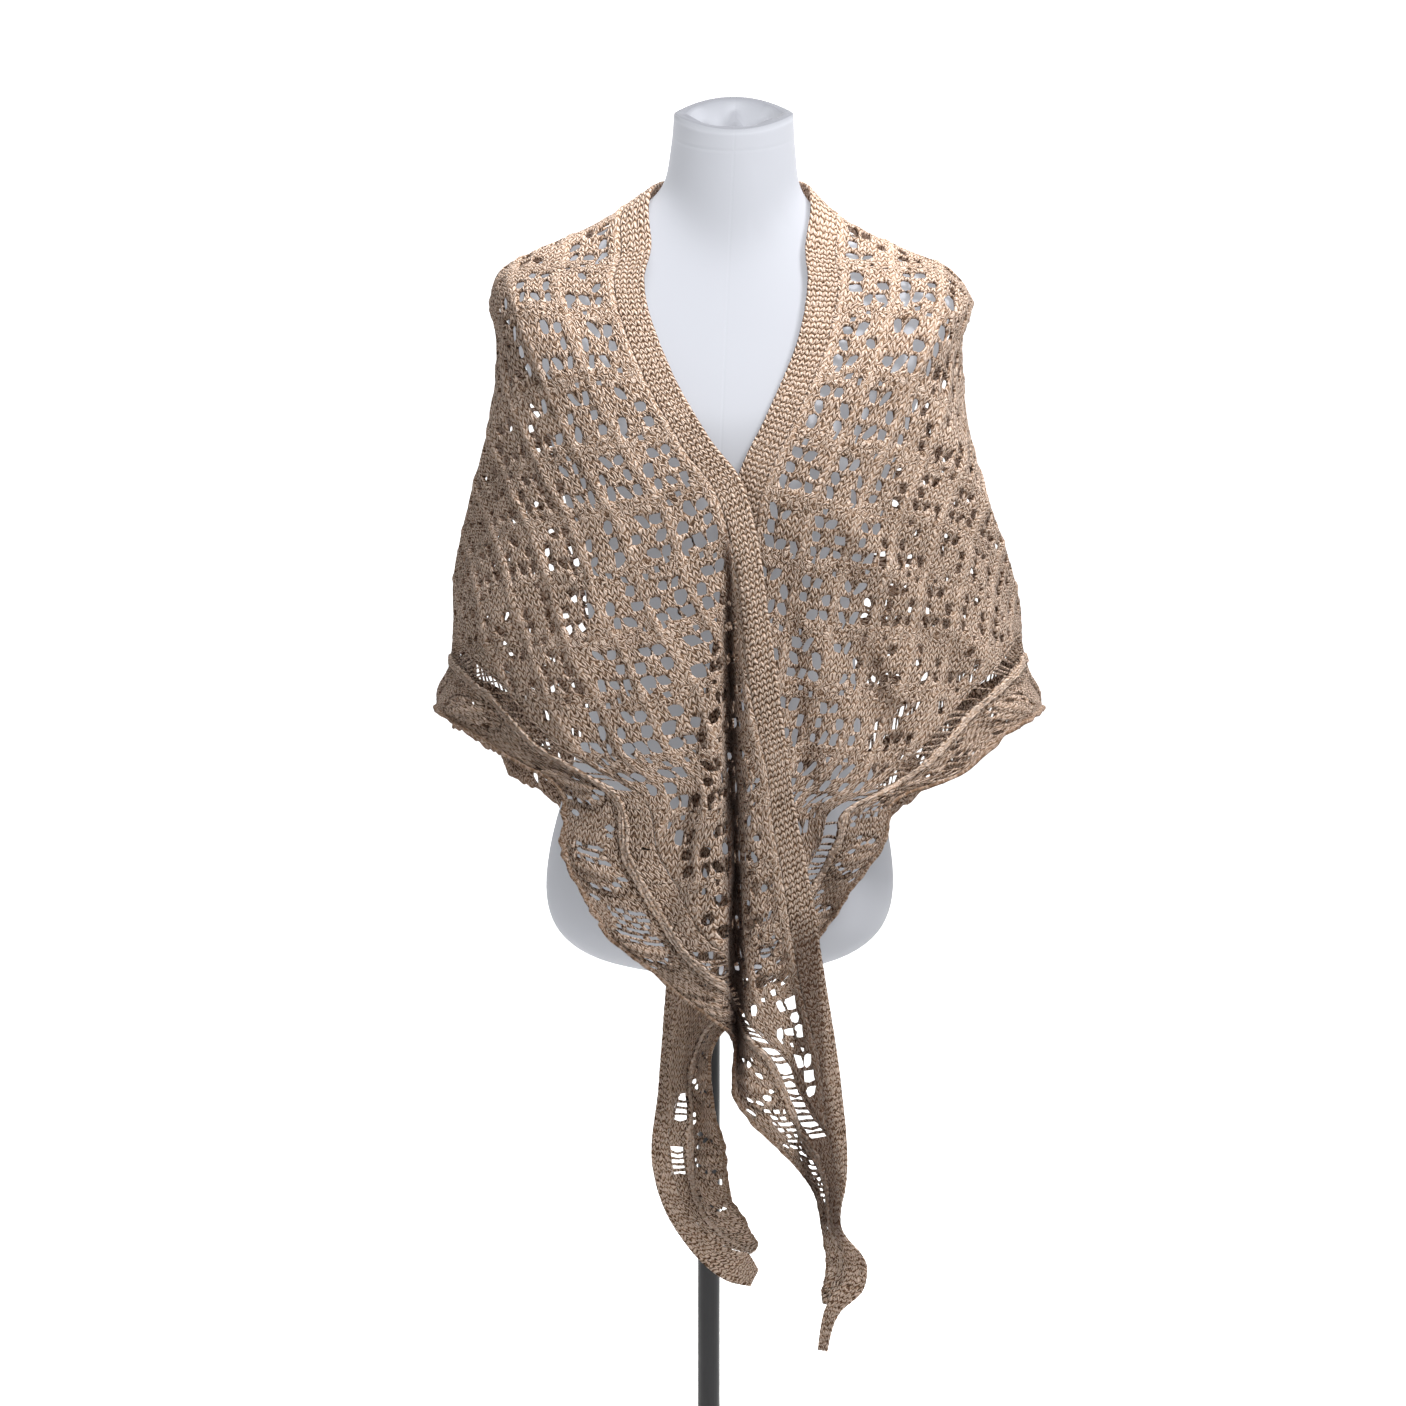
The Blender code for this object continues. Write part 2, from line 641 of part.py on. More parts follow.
def stand(material):
    boss_top = BASE_HEIGHT + BOSS_HEIGHT
    collar_top = FORM_FLOOR - FIT
    collar_low = collar_top - COLLAR_HEIGHT
    base_profile = (
        (BASE_RADIUS - BASE_EDGE, 0),
        (BASE_RADIUS, BASE_EDGE),
        (BASE_RADIUS, BASE_HEIGHT - BASE_EDGE),
        (BASE_RADIUS - BASE_EDGE, BASE_HEIGHT),
        (BOSS_RADIUS + BASE_EDGE, BASE_HEIGHT),
        (BOSS_RADIUS, BASE_HEIGHT + BASE_EDGE),
        (BOSS_RADIUS, boss_top),
    )
    turned("stand_base", base_profile, BASE_SIDES, material)
    pole_profile = ((POLE_RADIUS, boss_top + FIT), (POLE_RADIUS, collar_low - FIT))
    turned("stand_pole", pole_profile, POLE_SIDES, material)
    collar_profile = (
        (COLLAR_RADIUS - BASE_EDGE, collar_low),
        (COLLAR_RADIUS, collar_low + BASE_EDGE),
        (COLLAR_RADIUS, collar_top),
    )
    turned("form_collar", collar_profile, POLE_SIDES, material)


def main():
    for thing in list(bpy.data.objects):
        bpy.data.objects.remove(thing, do_unlink=True)
    lace = make_material("tan_lace_knit", (0.36, 0.25, 0.17), 0.95)
    garter = make_material("tan_garter_knit", (0.40, 0.28, 0.19), 0.95)
    edge_knit = make_material("tan_edging_knit", (0.34, 0.23, 0.155), 0.95)
    jersey = make_material("white_jersey", (0.80, 0.82, 0.87), 0.9)
    black_steel = make_material("black_steel", (0.015, 0.015, 0.017), 0.4, 0.6)
    for side, label in ((-1, "left"), (1, "right")):
        wing = Wing(side)
        neck_band(wing, garter, "neck_band_" + label)
        lace_panel(wing, lace, "lace_panel_" + label)
        edging(wing, edge_knit, "edging_" + label)
    dress_form(jersey)
    stand(black_steel)


main()
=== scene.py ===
import math

import bmesh
import bpy
import numpy as np
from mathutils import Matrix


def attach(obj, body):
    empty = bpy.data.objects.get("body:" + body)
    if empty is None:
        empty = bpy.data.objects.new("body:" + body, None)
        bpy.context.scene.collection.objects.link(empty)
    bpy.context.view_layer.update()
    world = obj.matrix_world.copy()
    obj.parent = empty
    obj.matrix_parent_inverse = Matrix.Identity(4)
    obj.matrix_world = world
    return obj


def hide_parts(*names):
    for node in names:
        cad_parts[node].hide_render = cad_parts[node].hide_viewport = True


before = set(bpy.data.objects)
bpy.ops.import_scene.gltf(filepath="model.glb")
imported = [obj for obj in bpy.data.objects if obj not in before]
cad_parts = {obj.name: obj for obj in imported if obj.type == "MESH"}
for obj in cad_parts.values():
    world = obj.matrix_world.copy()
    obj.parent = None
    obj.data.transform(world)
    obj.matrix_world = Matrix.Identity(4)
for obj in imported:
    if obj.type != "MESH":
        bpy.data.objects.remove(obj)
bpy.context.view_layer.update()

hair = 1e-6  # metres, less than any real length here

# The shawl is knitted flat as a wide triangle. On each half s runs along the straight top edge from the
# centre back, and t runs square to it towards the hem.
shawlCut = {
    "halfSpan": 1.13,
    "backDepth": 0.68,
    "bandWidth": 0.022,
    "edgingDepth": 0.0967,
    "seam": 0.0003,
    "slantedSeam": 0.0005,
    "tipEnd": 1.126,
    "shortestLine": 0.030,
}

# The drape, from the neck outwards: path walked from the neck, half widths at the left and right, height at
# the sides, reach and height in front, reach and height at the back
drapeRows = np.array((
    (0.000, 0.0600, 0.0590, 1.222, 0.056, 1.176, 0.060, 1.232),
    (0.038, 0.0980, 0.0860, 1.197, 0.070, 1.141, 0.078, 1.204),
    (0.070, 0.1270, 0.1130, 1.181, 0.083, 1.111, 0.092, 1.176),
    (0.113, 0.1660, 0.1500, 1.164, 0.100, 1.072, 0.106, 1.136),
    (0.153, 0.1960, 0.1870, 1.144, 0.114, 1.035, 0.115, 1.098),
    (0.172, 0.2005, 0.1995, 1.126, 0.119, 1.018, 0.118, 1.080),
    (0.206, 0.1960, 0.1950, 1.094, 0.126, 0.986, 0.121, 1.047),
    (0.257, 0.1980, 0.1980, 1.043, 0.132, 0.935, 0.124, 0.997),
    (0.344, 0.2120, 0.2206, 0.958, 0.138, 0.848, 0.126, 0.910),
    (0.431, 0.2270, 0.2430, 0.873, 0.141, 0.761, 0.128, 0.823),
    (0.483, 0.2310, 0.2550, 0.822, 0.142, 0.710, 0.130, 0.772),
    (0.530, 0.2430, 0.2710, 0.778, 0.142, 0.662, 0.134, 0.725),
    (0.700, 0.2500, 0.2800, 0.610, 0.142, 0.492, 0.148, 0.556),
    (1.050, 0.2500, 0.2800, 0.260, 0.142, 0.142, 0.150, 0.206),
))
drapeNames = ("path", "leftX", "rightX", "sideZ", "frontY", "frontZ", "backY", "backZ")

# The top edge behind the neck: s, angle from the front in degrees, path
neckRows = ((0.000, 180.0, 0.0), (0.045, 137.0, 0.0), (0.085, 100.0, 0.0))
# Each half's top edge in front, down to its tip: s, x, z, and how far it stands forward
leftEdgeRows = (
    (0.145, -0.0480, 1.173, 0.000),
    (0.185, -0.0535, 1.140, 0.000),
    (0.243, -0.0417, 1.090, 0.000),
    (0.303, -0.0188, 1.041, 0.001),
    (0.347, 0.0023, 1.007, 0.003),
    (0.385, 0.0241, 0.979, 0.0045),
    (0.430, 0.0369, 0.937, 0.010),
    (0.501, 0.0473, 0.869, 0.016),
    (0.604, 0.0609, 0.769, 0.022),
    (0.780, 0.0896, 0.599, 0.026),
    (0.891, 0.1062, 0.491, 0.026),
    (0.976, 0.1116, 0.408, 0.026),
    (1.012, 0.1075, 0.371, 0.030),
    (1.050, 0.1290, 0.336, 0.024),
    (1.073, 0.1250, 0.313, 0.022),
    (1.093, 0.1080, 0.298, 0.022),
    (1.130, 0.0955, 0.262, 0.022),
)
rightEdgeRows = (
    (0.145, 0.0801, 1.173, 0.000),
    (0.185, 0.0813, 1.140, 0.000),
    (0.243, 0.0725, 1.090, 0.000),
    (0.302, 0.0526, 1.041, 0.000),
    (0.345, 0.0347, 1.005, -0.001),
    (0.376, 0.0233, 0.979, -0.003),
    (0.429, 0.0153, 0.928, -0.013),
    (0.488, 0.0080, 0.871, -0.024),
    (0.600, -0.0083, 0.765, -0.030),
    (0.790, -0.0330, 0.582, -0.030),
    (0.903, -0.0413, 0.474, -0.030),
    (0.968, -0.0464, 0.411, -0.030),
    (1.002, -0.0381, 0.379, -0.030),
    (1.055, -0.0100, 0.335, -0.028),
    (1.090, 0.0125, 0.317, -0.024),
    (1.130, 0.0370, 0.313, -0.018),
)
# The hem: round the back to the side as s, angle, path, then in front as s, x, z, forward
backHemRows = (
    (0.000, 180.0, 0.690),
    (0.080, 166.0, 0.650),
    (0.200, 146.0, 0.595),
    (0.300, 128.0, 0.562),
    (0.400, 110.0, 0.542),
    (0.460, 99.0, 0.534),
    (0.510, 90.0, 0.530),
)
leftHemRows = (
    (0.592, -0.1723, 0.752, 0.000),
    (0.614, -0.1342, 0.735, 0.004),
    (0.672, -0.1200, 0.680, 0.006),
    (0.742, -0.0880, 0.615, 0.010),
    (0.792, -0.0450, 0.577, 0.014),
    (0.855, 0.0144, 0.529, 0.020),
    (0.914, 0.0250, 0.469, 0.020),
    (0.953, 0.0617, 0.430, 0.016),
    (1.000, 0.0890, 0.389, 0.012),
    (1.018, 0.0925, 0.368, 0.012),
    (1.056, 0.0960, 0.335, 0.010),
    (1.094, 0.0900, 0.296, 0.012),
    (1.130, 0.0870, 0.262, 0.016),
)
rightHemRows = (
    (0.584, 0.2412, 0.759, 0.000),
    (0.612, 0.2064, 0.734, 0.000),
    (0.640, 0.1536, 0.714, -0.002),
    (0.666, 0.1470, 0.690, -0.004),
    (0.735, 0.1113, 0.634, -0.012),
    (0.790, 0.0800, 0.588, -0.022),
    (0.862, 0.0070, 0.517, -0.026),
    (0.945, 0.0115, 0.433, -0.026),
    (1.000, 0.0190, 0.387, -0.024),
    (1.045, 0.0320, 0.362, -0.022),
    (1.090, 0.0420, 0.345, -0.018),
    (1.130, 0.0430, 0.330, -0.014),
)
# How far the middle of a line across the cloth bows from the straight way: s, angle, path
bowRows = np.array((
    (0.000, 0.0, 0.000),
    (0.040, 10.0, 0.000),
    (0.080, 21.0, -0.010),
    (0.200, 20.0, -0.045),
    (0.300, 13.0, -0.020),
    (0.400, 10.0, -0.015),
    (0.510, 0.0, -0.015),
    (0.620, 0.0, 0.000),
    (1.130, 0.0, 0.000),
))
# The great folds in front: where each starts (x, z) and ends (x, z), how deep it sinks, half its width
leftFolds = (
    (0.0150, 0.935, 0.0240, 0.460, 0.036, 0.0082),
    (0.0560, 0.650, 0.0790, 0.360, 0.010, 0.0100),
    (0.0020, 0.960, -0.0505, 0.460, 0.007, 0.0140),
    (-0.0300, 0.975, -0.1530, 0.600, 0.006, 0.0180),
    (-0.0750, 1.020, -0.2340, 0.660, 0.006, 0.0200),
)
rightFolds = (
    (0.0520, 0.960, 0.1070, 0.500, 0.008, 0.0140),
    (0.0850, 0.985, 0.1930, 0.600, 0.007, 0.0180),
    (0.1150, 1.020, 0.2780, 0.640, 0.006, 0.0200),
    (-0.0060, 0.600, -0.0125, 0.330, 0.014, 0.0110),
)
# The front tail's turned-back strip: height, x of its middle, half its width
tailFold = np.array([
    (0.360, 0.097, 0.013),
    (0.420, 0.090, 0.016),
    (0.490, 0.083, 0.013),
    (0.566, 0.080, 0.011),
    (0.620, 0.078, 0.010),
])
# Painted shade: yarn deep in the turned-back strip and in the great pleat, where little light reaches, is
# painted darker. Reaches are shares of the half widths.
shadeWays = {
    "tailFade": 0.04,
    "tailReach": 1.35,
    "tailSoft": 0.7,
    "tailDark": 0.62,
    "pleatReach": 0.45,  # at the pleat's top
    "pleatGain": 0.65,  # what the reach gains lower down
    "gainRate": 1.6,
    "pleatRise": 0.03,
    "pleatDrop": 0.01,
    "pleatFade": 0.06,
    "pleatOuter": 1.2,
    "pleatSoft": 0.7,
    "pleatDark": 0.85,
}
drapeWays = {
    "foldRamp": 0.120,
    "foldFade": 0.100,
    "flutes": 4,
    "fluteDepth": 0.013,
    "fluteStart": 0.240,
    "fluteFull": 0.560,
    "leanLow": 0.008,
    "leanHigh": 0.021,
    "leanFloor": 0.560,
    "leanTop": 1.300,
    "sLines": 420,
    "tPoints": 200,
    "pastHem": 1.15,
    "walkPoints": 800,
    "walkEnd": 1.5,
    "pathSteps": 1200,
    "normalPasses": 3,
    "creaseFade": 0.25,  # share of a crease's length at each end
}

# Soft creases on top of the great folds, on the flat cloth: from s, t to s, t, half width, height outwards.
# A minus height is a trough. The same list serves both halves, shifted a little on the right one.
creaseRows = (
    (0.10, 0.05, 0.22, 0.60, 0.016, 0.0046),
    (0.02, 0.12, 0.05, 0.62, 0.020, -0.0022),
    (0.17, 0.06, 0.34, 0.46, 0.014, -0.0028),
    (0.24, 0.10, 0.40, 0.42, 0.018, 0.0050),
    (0.30, 0.16, 0.47, 0.38, 0.011, -0.0025),
    (0.33, 0.05, 0.50, 0.30, 0.015, 0.0046),
    (0.38, 0.03, 0.60, 0.26, 0.012, -0.0028),
    (0.42, 0.12, 0.64, 0.28, 0.013, 0.0042),
    (0.47, 0.05, 0.70, 0.20, 0.010, -0.0022),
    (0.55, 0.06, 0.82, 0.16, 0.012, 0.0046),
    (0.62, 0.14, 0.78, 0.20, 0.010, -0.0020),
    (0.70, 0.04, 0.96, 0.10, 0.009, -0.0022),
    (0.84, 0.05, 1.02, 0.06, 0.010, 0.0038),
    (0.12, 0.34, 0.30, 0.52, 0.018, 0.0038),
    (0.06, 0.42, 0.14, 0.60, 0.014, -0.0025),
)
creaseShift = {-1: 0.0, 1: 0.028}


def smoothCurve(where, stations, values):
    slopes = np.gradient(values, stations)
    index = np.clip(np.searchsorted(stations, where) - 1, 0, len(stations) - 2)
    step = stations[index + 1] - stations[index]
    along = (where - stations[index]) / step
    rise = values[index + 1] - values[index]
    start, end = slopes[index] * step, slopes[index + 1] * step
    bend = start + end - 2 * rise
    return values[index] + along * (start + along * (3 * rise - 2 * start - end + along * bend))


def softStep(value):
    value = np.clip(value, 0, 1)
    return value * value * (3 - 2 * value)


def leanAt(z):
    way = drapeWays
    rise = way["leanHigh"] - way["leanLow"]
    return way["leanLow"] + rise * (z - way["leanFloor"]) / (way["leanTop"] - way["leanFloor"])


def drapeValue(path, name):
    return smoothCurve(path, drapeRows[:, 0], drapeRows[:, drapeNames.index(name)])


def heightAt(angle, path):
    side = np.sin(angle) ** 2
    ends = np.where(np.cos(angle) > 0, drapeValue(path, "frontZ"), drapeValue(path, "backZ"))
    return drapeValue(path, "sideZ") * side + ends * (1 - side)


def angleAndPath(x, z, side):
    paths = np.linspace(0, drapeRows[-1, 0], drapeWays["pathSteps"])
    sine = np.clip(side * (x - leanAt(z)) / drapeValue(paths, "leftX" if side < 0 else "rightX"), -1, 1)
    angle = np.arcsin(sine)
    best = int(np.argmin(np.abs(heightAt(angle, paths) - z)))
    return angle[best], paths[best]


def hemDepth(s):
    return shawlCut["backDepth"] * (1 - s / shawlCut["halfSpan"])


class DrapedHalf:
    # One half of the shawl on the form: -1 at the left of the front view, 1 at its right

    def __init__(self, side):
        self.side = side
        self.folds = leftFolds if side < 0 else rightFolds
        self.edge = self.stations(neckRows, leftEdgeRows if side < 0 else rightEdgeRows)
        self.hem = self.stations(backHemRows, leftHemRows if side < 0 else rightHemRows)
        self.sLines = np.linspace(0, shawlCut["halfSpan"], drapeWays["sLines"])
        self.tShares = np.linspace(0, drapeWays["pastHem"], drapeWays["tPoints"])
        self.points = np.array([self.lineAcross(s) for s in self.sLines])
        self.normals = self.outwardNormals()

    def stations(self, behind, front):
        rows = [(s, math.radians(angle), path, 0.0) for s, angle, path in behind]
        for s, x, z, forward in front:
            rows.append((s, *angleAndPath(x, z, self.side), forward))
        return np.array(rows)

    def place(self, angle, path, forward):
        way = drapeWays
        z = heightAt(angle, path)
        half = drapeValue(path, "leftX" if self.side < 0 else "rightX")
        front = np.cos(angle) > 0
        reach = np.where(front, -drapeValue(path, "frontY"), drapeValue(path, "backY"))
        smoothX = leanAt(z) + self.side * half * np.sin(angle)
        y = reach * np.abs(np.cos(angle)) - forward
        behind = np.clip(angle - math.pi / 2, 0, None) / (math.pi / 2)
        flute = 0.5 - 0.5 * np.cos(2 * math.pi * way["flutes"] * behind)
        grown = softStep((path - way["fluteStart"]) / (way["fluteFull"] - way["fluteStart"]))
        fluted = flute * way["fluteDepth"] * grown
        x = smoothX - self.side * np.sin(angle) * fluted
        y = y + self.sinkAt(smoothX, z) * front + np.where(front, 1.0, np.cos(angle)) * fluted
        return np.stack([x, y, z], axis=-1)

    def sinkAt(self, x, z):
        total = np.zeros_like(x)
        for topX, topZ, lowX, lowZ, depth, halfWidth in self.folds:
            middle = topX + (lowX - topX) * (topZ - z) / (topZ - lowZ)
            profile = np.exp(-(((x - middle) / halfWidth) ** 2))
            ends = softStep((topZ - z) / drapeWays["foldRamp"]) * softStep((z - lowZ) / drapeWays["foldFade"])
            total += depth * profile * ends
        return total

    def tailShade(self, points):
        # The part of the front tail that is turned back, out of the light. Its shade is painted
        # into the yarn's colour.
        if self.side > 0:
            return np.zeros(len(points))
        x, y, z = points.T
        way, levels = shadeWays, tailFold[:, 0]
        fade = way["tailFade"]
        away = np.abs(x - np.interp(z, levels, tailFold[:, 1])) / np.interp(z, levels, tailFold[:, 2])
        ends = softStep((levels[-1] + fade / 2 - z) / fade) * softStep((z - levels[0] + fade / 2) / fade)
        return softStep((way["tailReach"] - away) / way["tailSoft"]) * ends * (y < 0)

    def pleatShade(self, points):
        # Yarn deep in the great pleat gets next to no light, so it gets painted shade
        if self.side > 0:
            return np.zeros(len(points))
        topX, topZ, lowX, lowZ, _, halfWidth = self.folds[0]
        x, y, z = points.T
        way = shadeWays
        down = np.clip((topZ - z) / (topZ - lowZ), 0, 1)
        away = np.abs(x - topX - (lowX - topX) * (topZ - z) / (topZ - lowZ))
        reach = halfWidth * (way["pleatReach"] + way["pleatGain"] * softStep(down * way["gainRate"]))
        ends = softStep((topZ + way["pleatRise"] - z) / way["pleatFade"])
        ends = ends * softStep((z - lowZ + way["pleatDrop"]) / way["pleatFade"])
        inside = softStep((reach * way["pleatOuter"] - away) / (reach * way["pleatSoft"]))
        deep = way["pleatDark"] * inside * ends * (y < 0)
        return np.maximum(deep, way["tailDark"] * self.tailShade(points))

    def lineAcross(self, s):
        here = np.array([s])
        edge = [smoothCurve(here, self.edge[:, 0], self.edge[:, i])[0] for i in (1, 2, 3)]
        hem = [smoothCurve(here, self.hem[:, 0], self.hem[:, i])[0] for i in (1, 2, 3)]
        bow = [
            math.radians(smoothCurve(here, bowRows[:, 0], bowRows[:, 1])[0]),
            smoothCurve(here, bowRows[:, 0], bowRows[:, 2])[0],
            0.0,
        ]
        share = np.linspace(0, drapeWays["walkEnd"], drapeWays["walkPoints"])
        ways = zip(edge, hem, bow)
        points = self.place(*[e + (h - e) * share + b * 4 * share * (1 - share) for e, h, b in ways])
        walked = np.concatenate([[0], np.cumsum(np.linalg.norm(np.diff(points, axis=0), axis=1))])
        wanted = self.tShares * np.interp(1.0, share, walked)
        return np.stack([np.interp(wanted, walked, points[:, i]) for i in range(3)], axis=1)

    def outwardNormals(self):
        normal = self.side * np.cross(np.gradient(self.points, axis=0), np.gradient(self.points, axis=1))
        for _ in range(drapeWays["normalPasses"]):
            normal[1:-1] = (normal[:-2] + 2 * normal[1:-1] + normal[2:]) / 4
        return normal / np.linalg.norm(normal, axis=-1, keepdims=True)

    def at(self, s, t):
        reach = np.maximum(hemDepth(s), shawlCut["shortestLine"])
        row = np.clip(s / shawlCut["halfSpan"], 0, 1) * (len(self.sLines) - 1)
        share = np.clip(t / reach / self.tShares[-1], 0, 1) * (len(self.tShares) - 1)
        i = np.minimum(row.astype(int), len(self.sLines) - 2)
        j = np.minimum(share.astype(int), len(self.tShares) - 2)
        a = (row - i)[:, None]
        b = (share - j)[:, None]
        found = []
        for grid in (self.points, self.normals):
            low = grid[i, j] * (1 - b) + grid[i, j + 1] * b
            high = grid[i + 1, j] * (1 - b) + grid[i + 1, j + 1] * b
            found.append(low * (1 - a) + high * a)
        return found[0], found[1] / np.linalg.norm(found[1], axis=1, keepdims=True)


def creaseHeight(side, s, t):
    total, fade = np.zeros_like(s), drapeWays["creaseFade"]
    for s1, t1, s2, t2, halfWidth, height in creaseRows:
        s1, s2 = s1 + creaseShift[side], s2 + creaseShift[side]
        alongS, alongT = s2 - s1, t2 - t1
        share = ((s - s1) * alongS + (t - t1) * alongT) / (alongS ** 2 + alongT ** 2)
        inside = np.clip(share, 0, 1)
        away = np.hypot(s - s1 - inside * alongS, t - t1 - inside * alongT)
        ends = softStep(inside / fade) * softStep((1 - inside) / fade)
        total += height * ends * np.exp(-((away / halfWidth) ** 2))
    return total


# Small tools for meshes and materials


def onlySelect(thing):
    bpy.ops.object.select_all(action="DESELECT")
    thing.select_set(True)
    bpy.context.view_layer.objects.active = thing


def applyModifiers(thing):
    onlySelect(thing)
    for modifier in list(thing.modifiers):
        bpy.ops.object.modifier_apply(modifier=modifier.name)


def linearColour(hexColour):
    parts = [int(hexColour[i:i + 2], 16) / 255 for i in (1, 3, 5)]
    return (*[part / 12.92 if part <= 0.04045 else ((part + 0.055) / 1.055) ** 2.4 for part in parts], 1.0)


def addNode(tree, kind, inputs, output=0, stops=(), **settings):
    node = tree.nodes.new(kind)
    for name, value in settings.items():
        setattr(node, name, value)
    for position, colour in stops:
        elements = node.color_ramp.elements
        element = elements[len(elements) - 1] if position == stops[-1][0] else elements.new(position)
        if position == stops[0][0]:
            elements.remove(element)
            element = elements[0]
        element.position = position
        element.color = linearColour(colour)
    for name, value in inputs.items():
        if isinstance(value, bpy.types.NodeSocket):
            tree.links.new(value, node.inputs[name])
        else:
            node.inputs[name].default_value = value
    return node.outputs[output] if node.outputs else node


def newMaterial(name):
    material = bpy.data.materials.new(name)
    material.use_nodes = True
    material.node_tree.nodes.clear()
    return material, material.node_tree


# Hand-knitted wool and alpaca: matt, hairy yarn whose twist and loops throw small deep shadows. Those shadows
# are painted into the colour, which follows the stitch height: painted shade in the crevices between the
# loops and a painted highlight on their tops, over the yarn's own melange. The real gauge is near 4.4 mm to
# the stitch.
# The loops are drawn about a quarter coarser, or they wouldn't show.
wool = {
    "wale": 0.0055,
    "course": 0.0061,
    "slant": 0.90,
    "waver": 0.0068,
    "crepeWaver": 0.0128,
    "wavePitch": 0.0068,
    "bumpDepth": 0.0018,
    "fuzz": 0.0012,
    "paintedReliefShare": 0.20,
    "roughness": 0.9,
    "translucency": 0.36,
    "sheenWeight": 0.12,
    "sheenRoughness": 0.5,
    "deep": "#523D2E",
    "shade": "#94775F",
    "mid": "#CFB39C",
    "light": "#D8C1B0",
    "bright": "#E7D3C4",
    # colour of the painted shade in the deep folds
    "paintedShade": "#4A3022",
    "legCurve": -15.0,
    "fuzzShare": 0.50,
    "melangeScale": 22.0,
    "melangeShare": 0.25,
    "darkest": 0.36,  # heights of the stitch that get the deep and the bright colour
    "brightest": 1.18,
    "stops": (0.0, 0.17, 0.35, 0.60, 0.92),
    "rimShadeShare": 0.55,
    "bumpStrength": 0.66,
    "specular": 0.25,
}


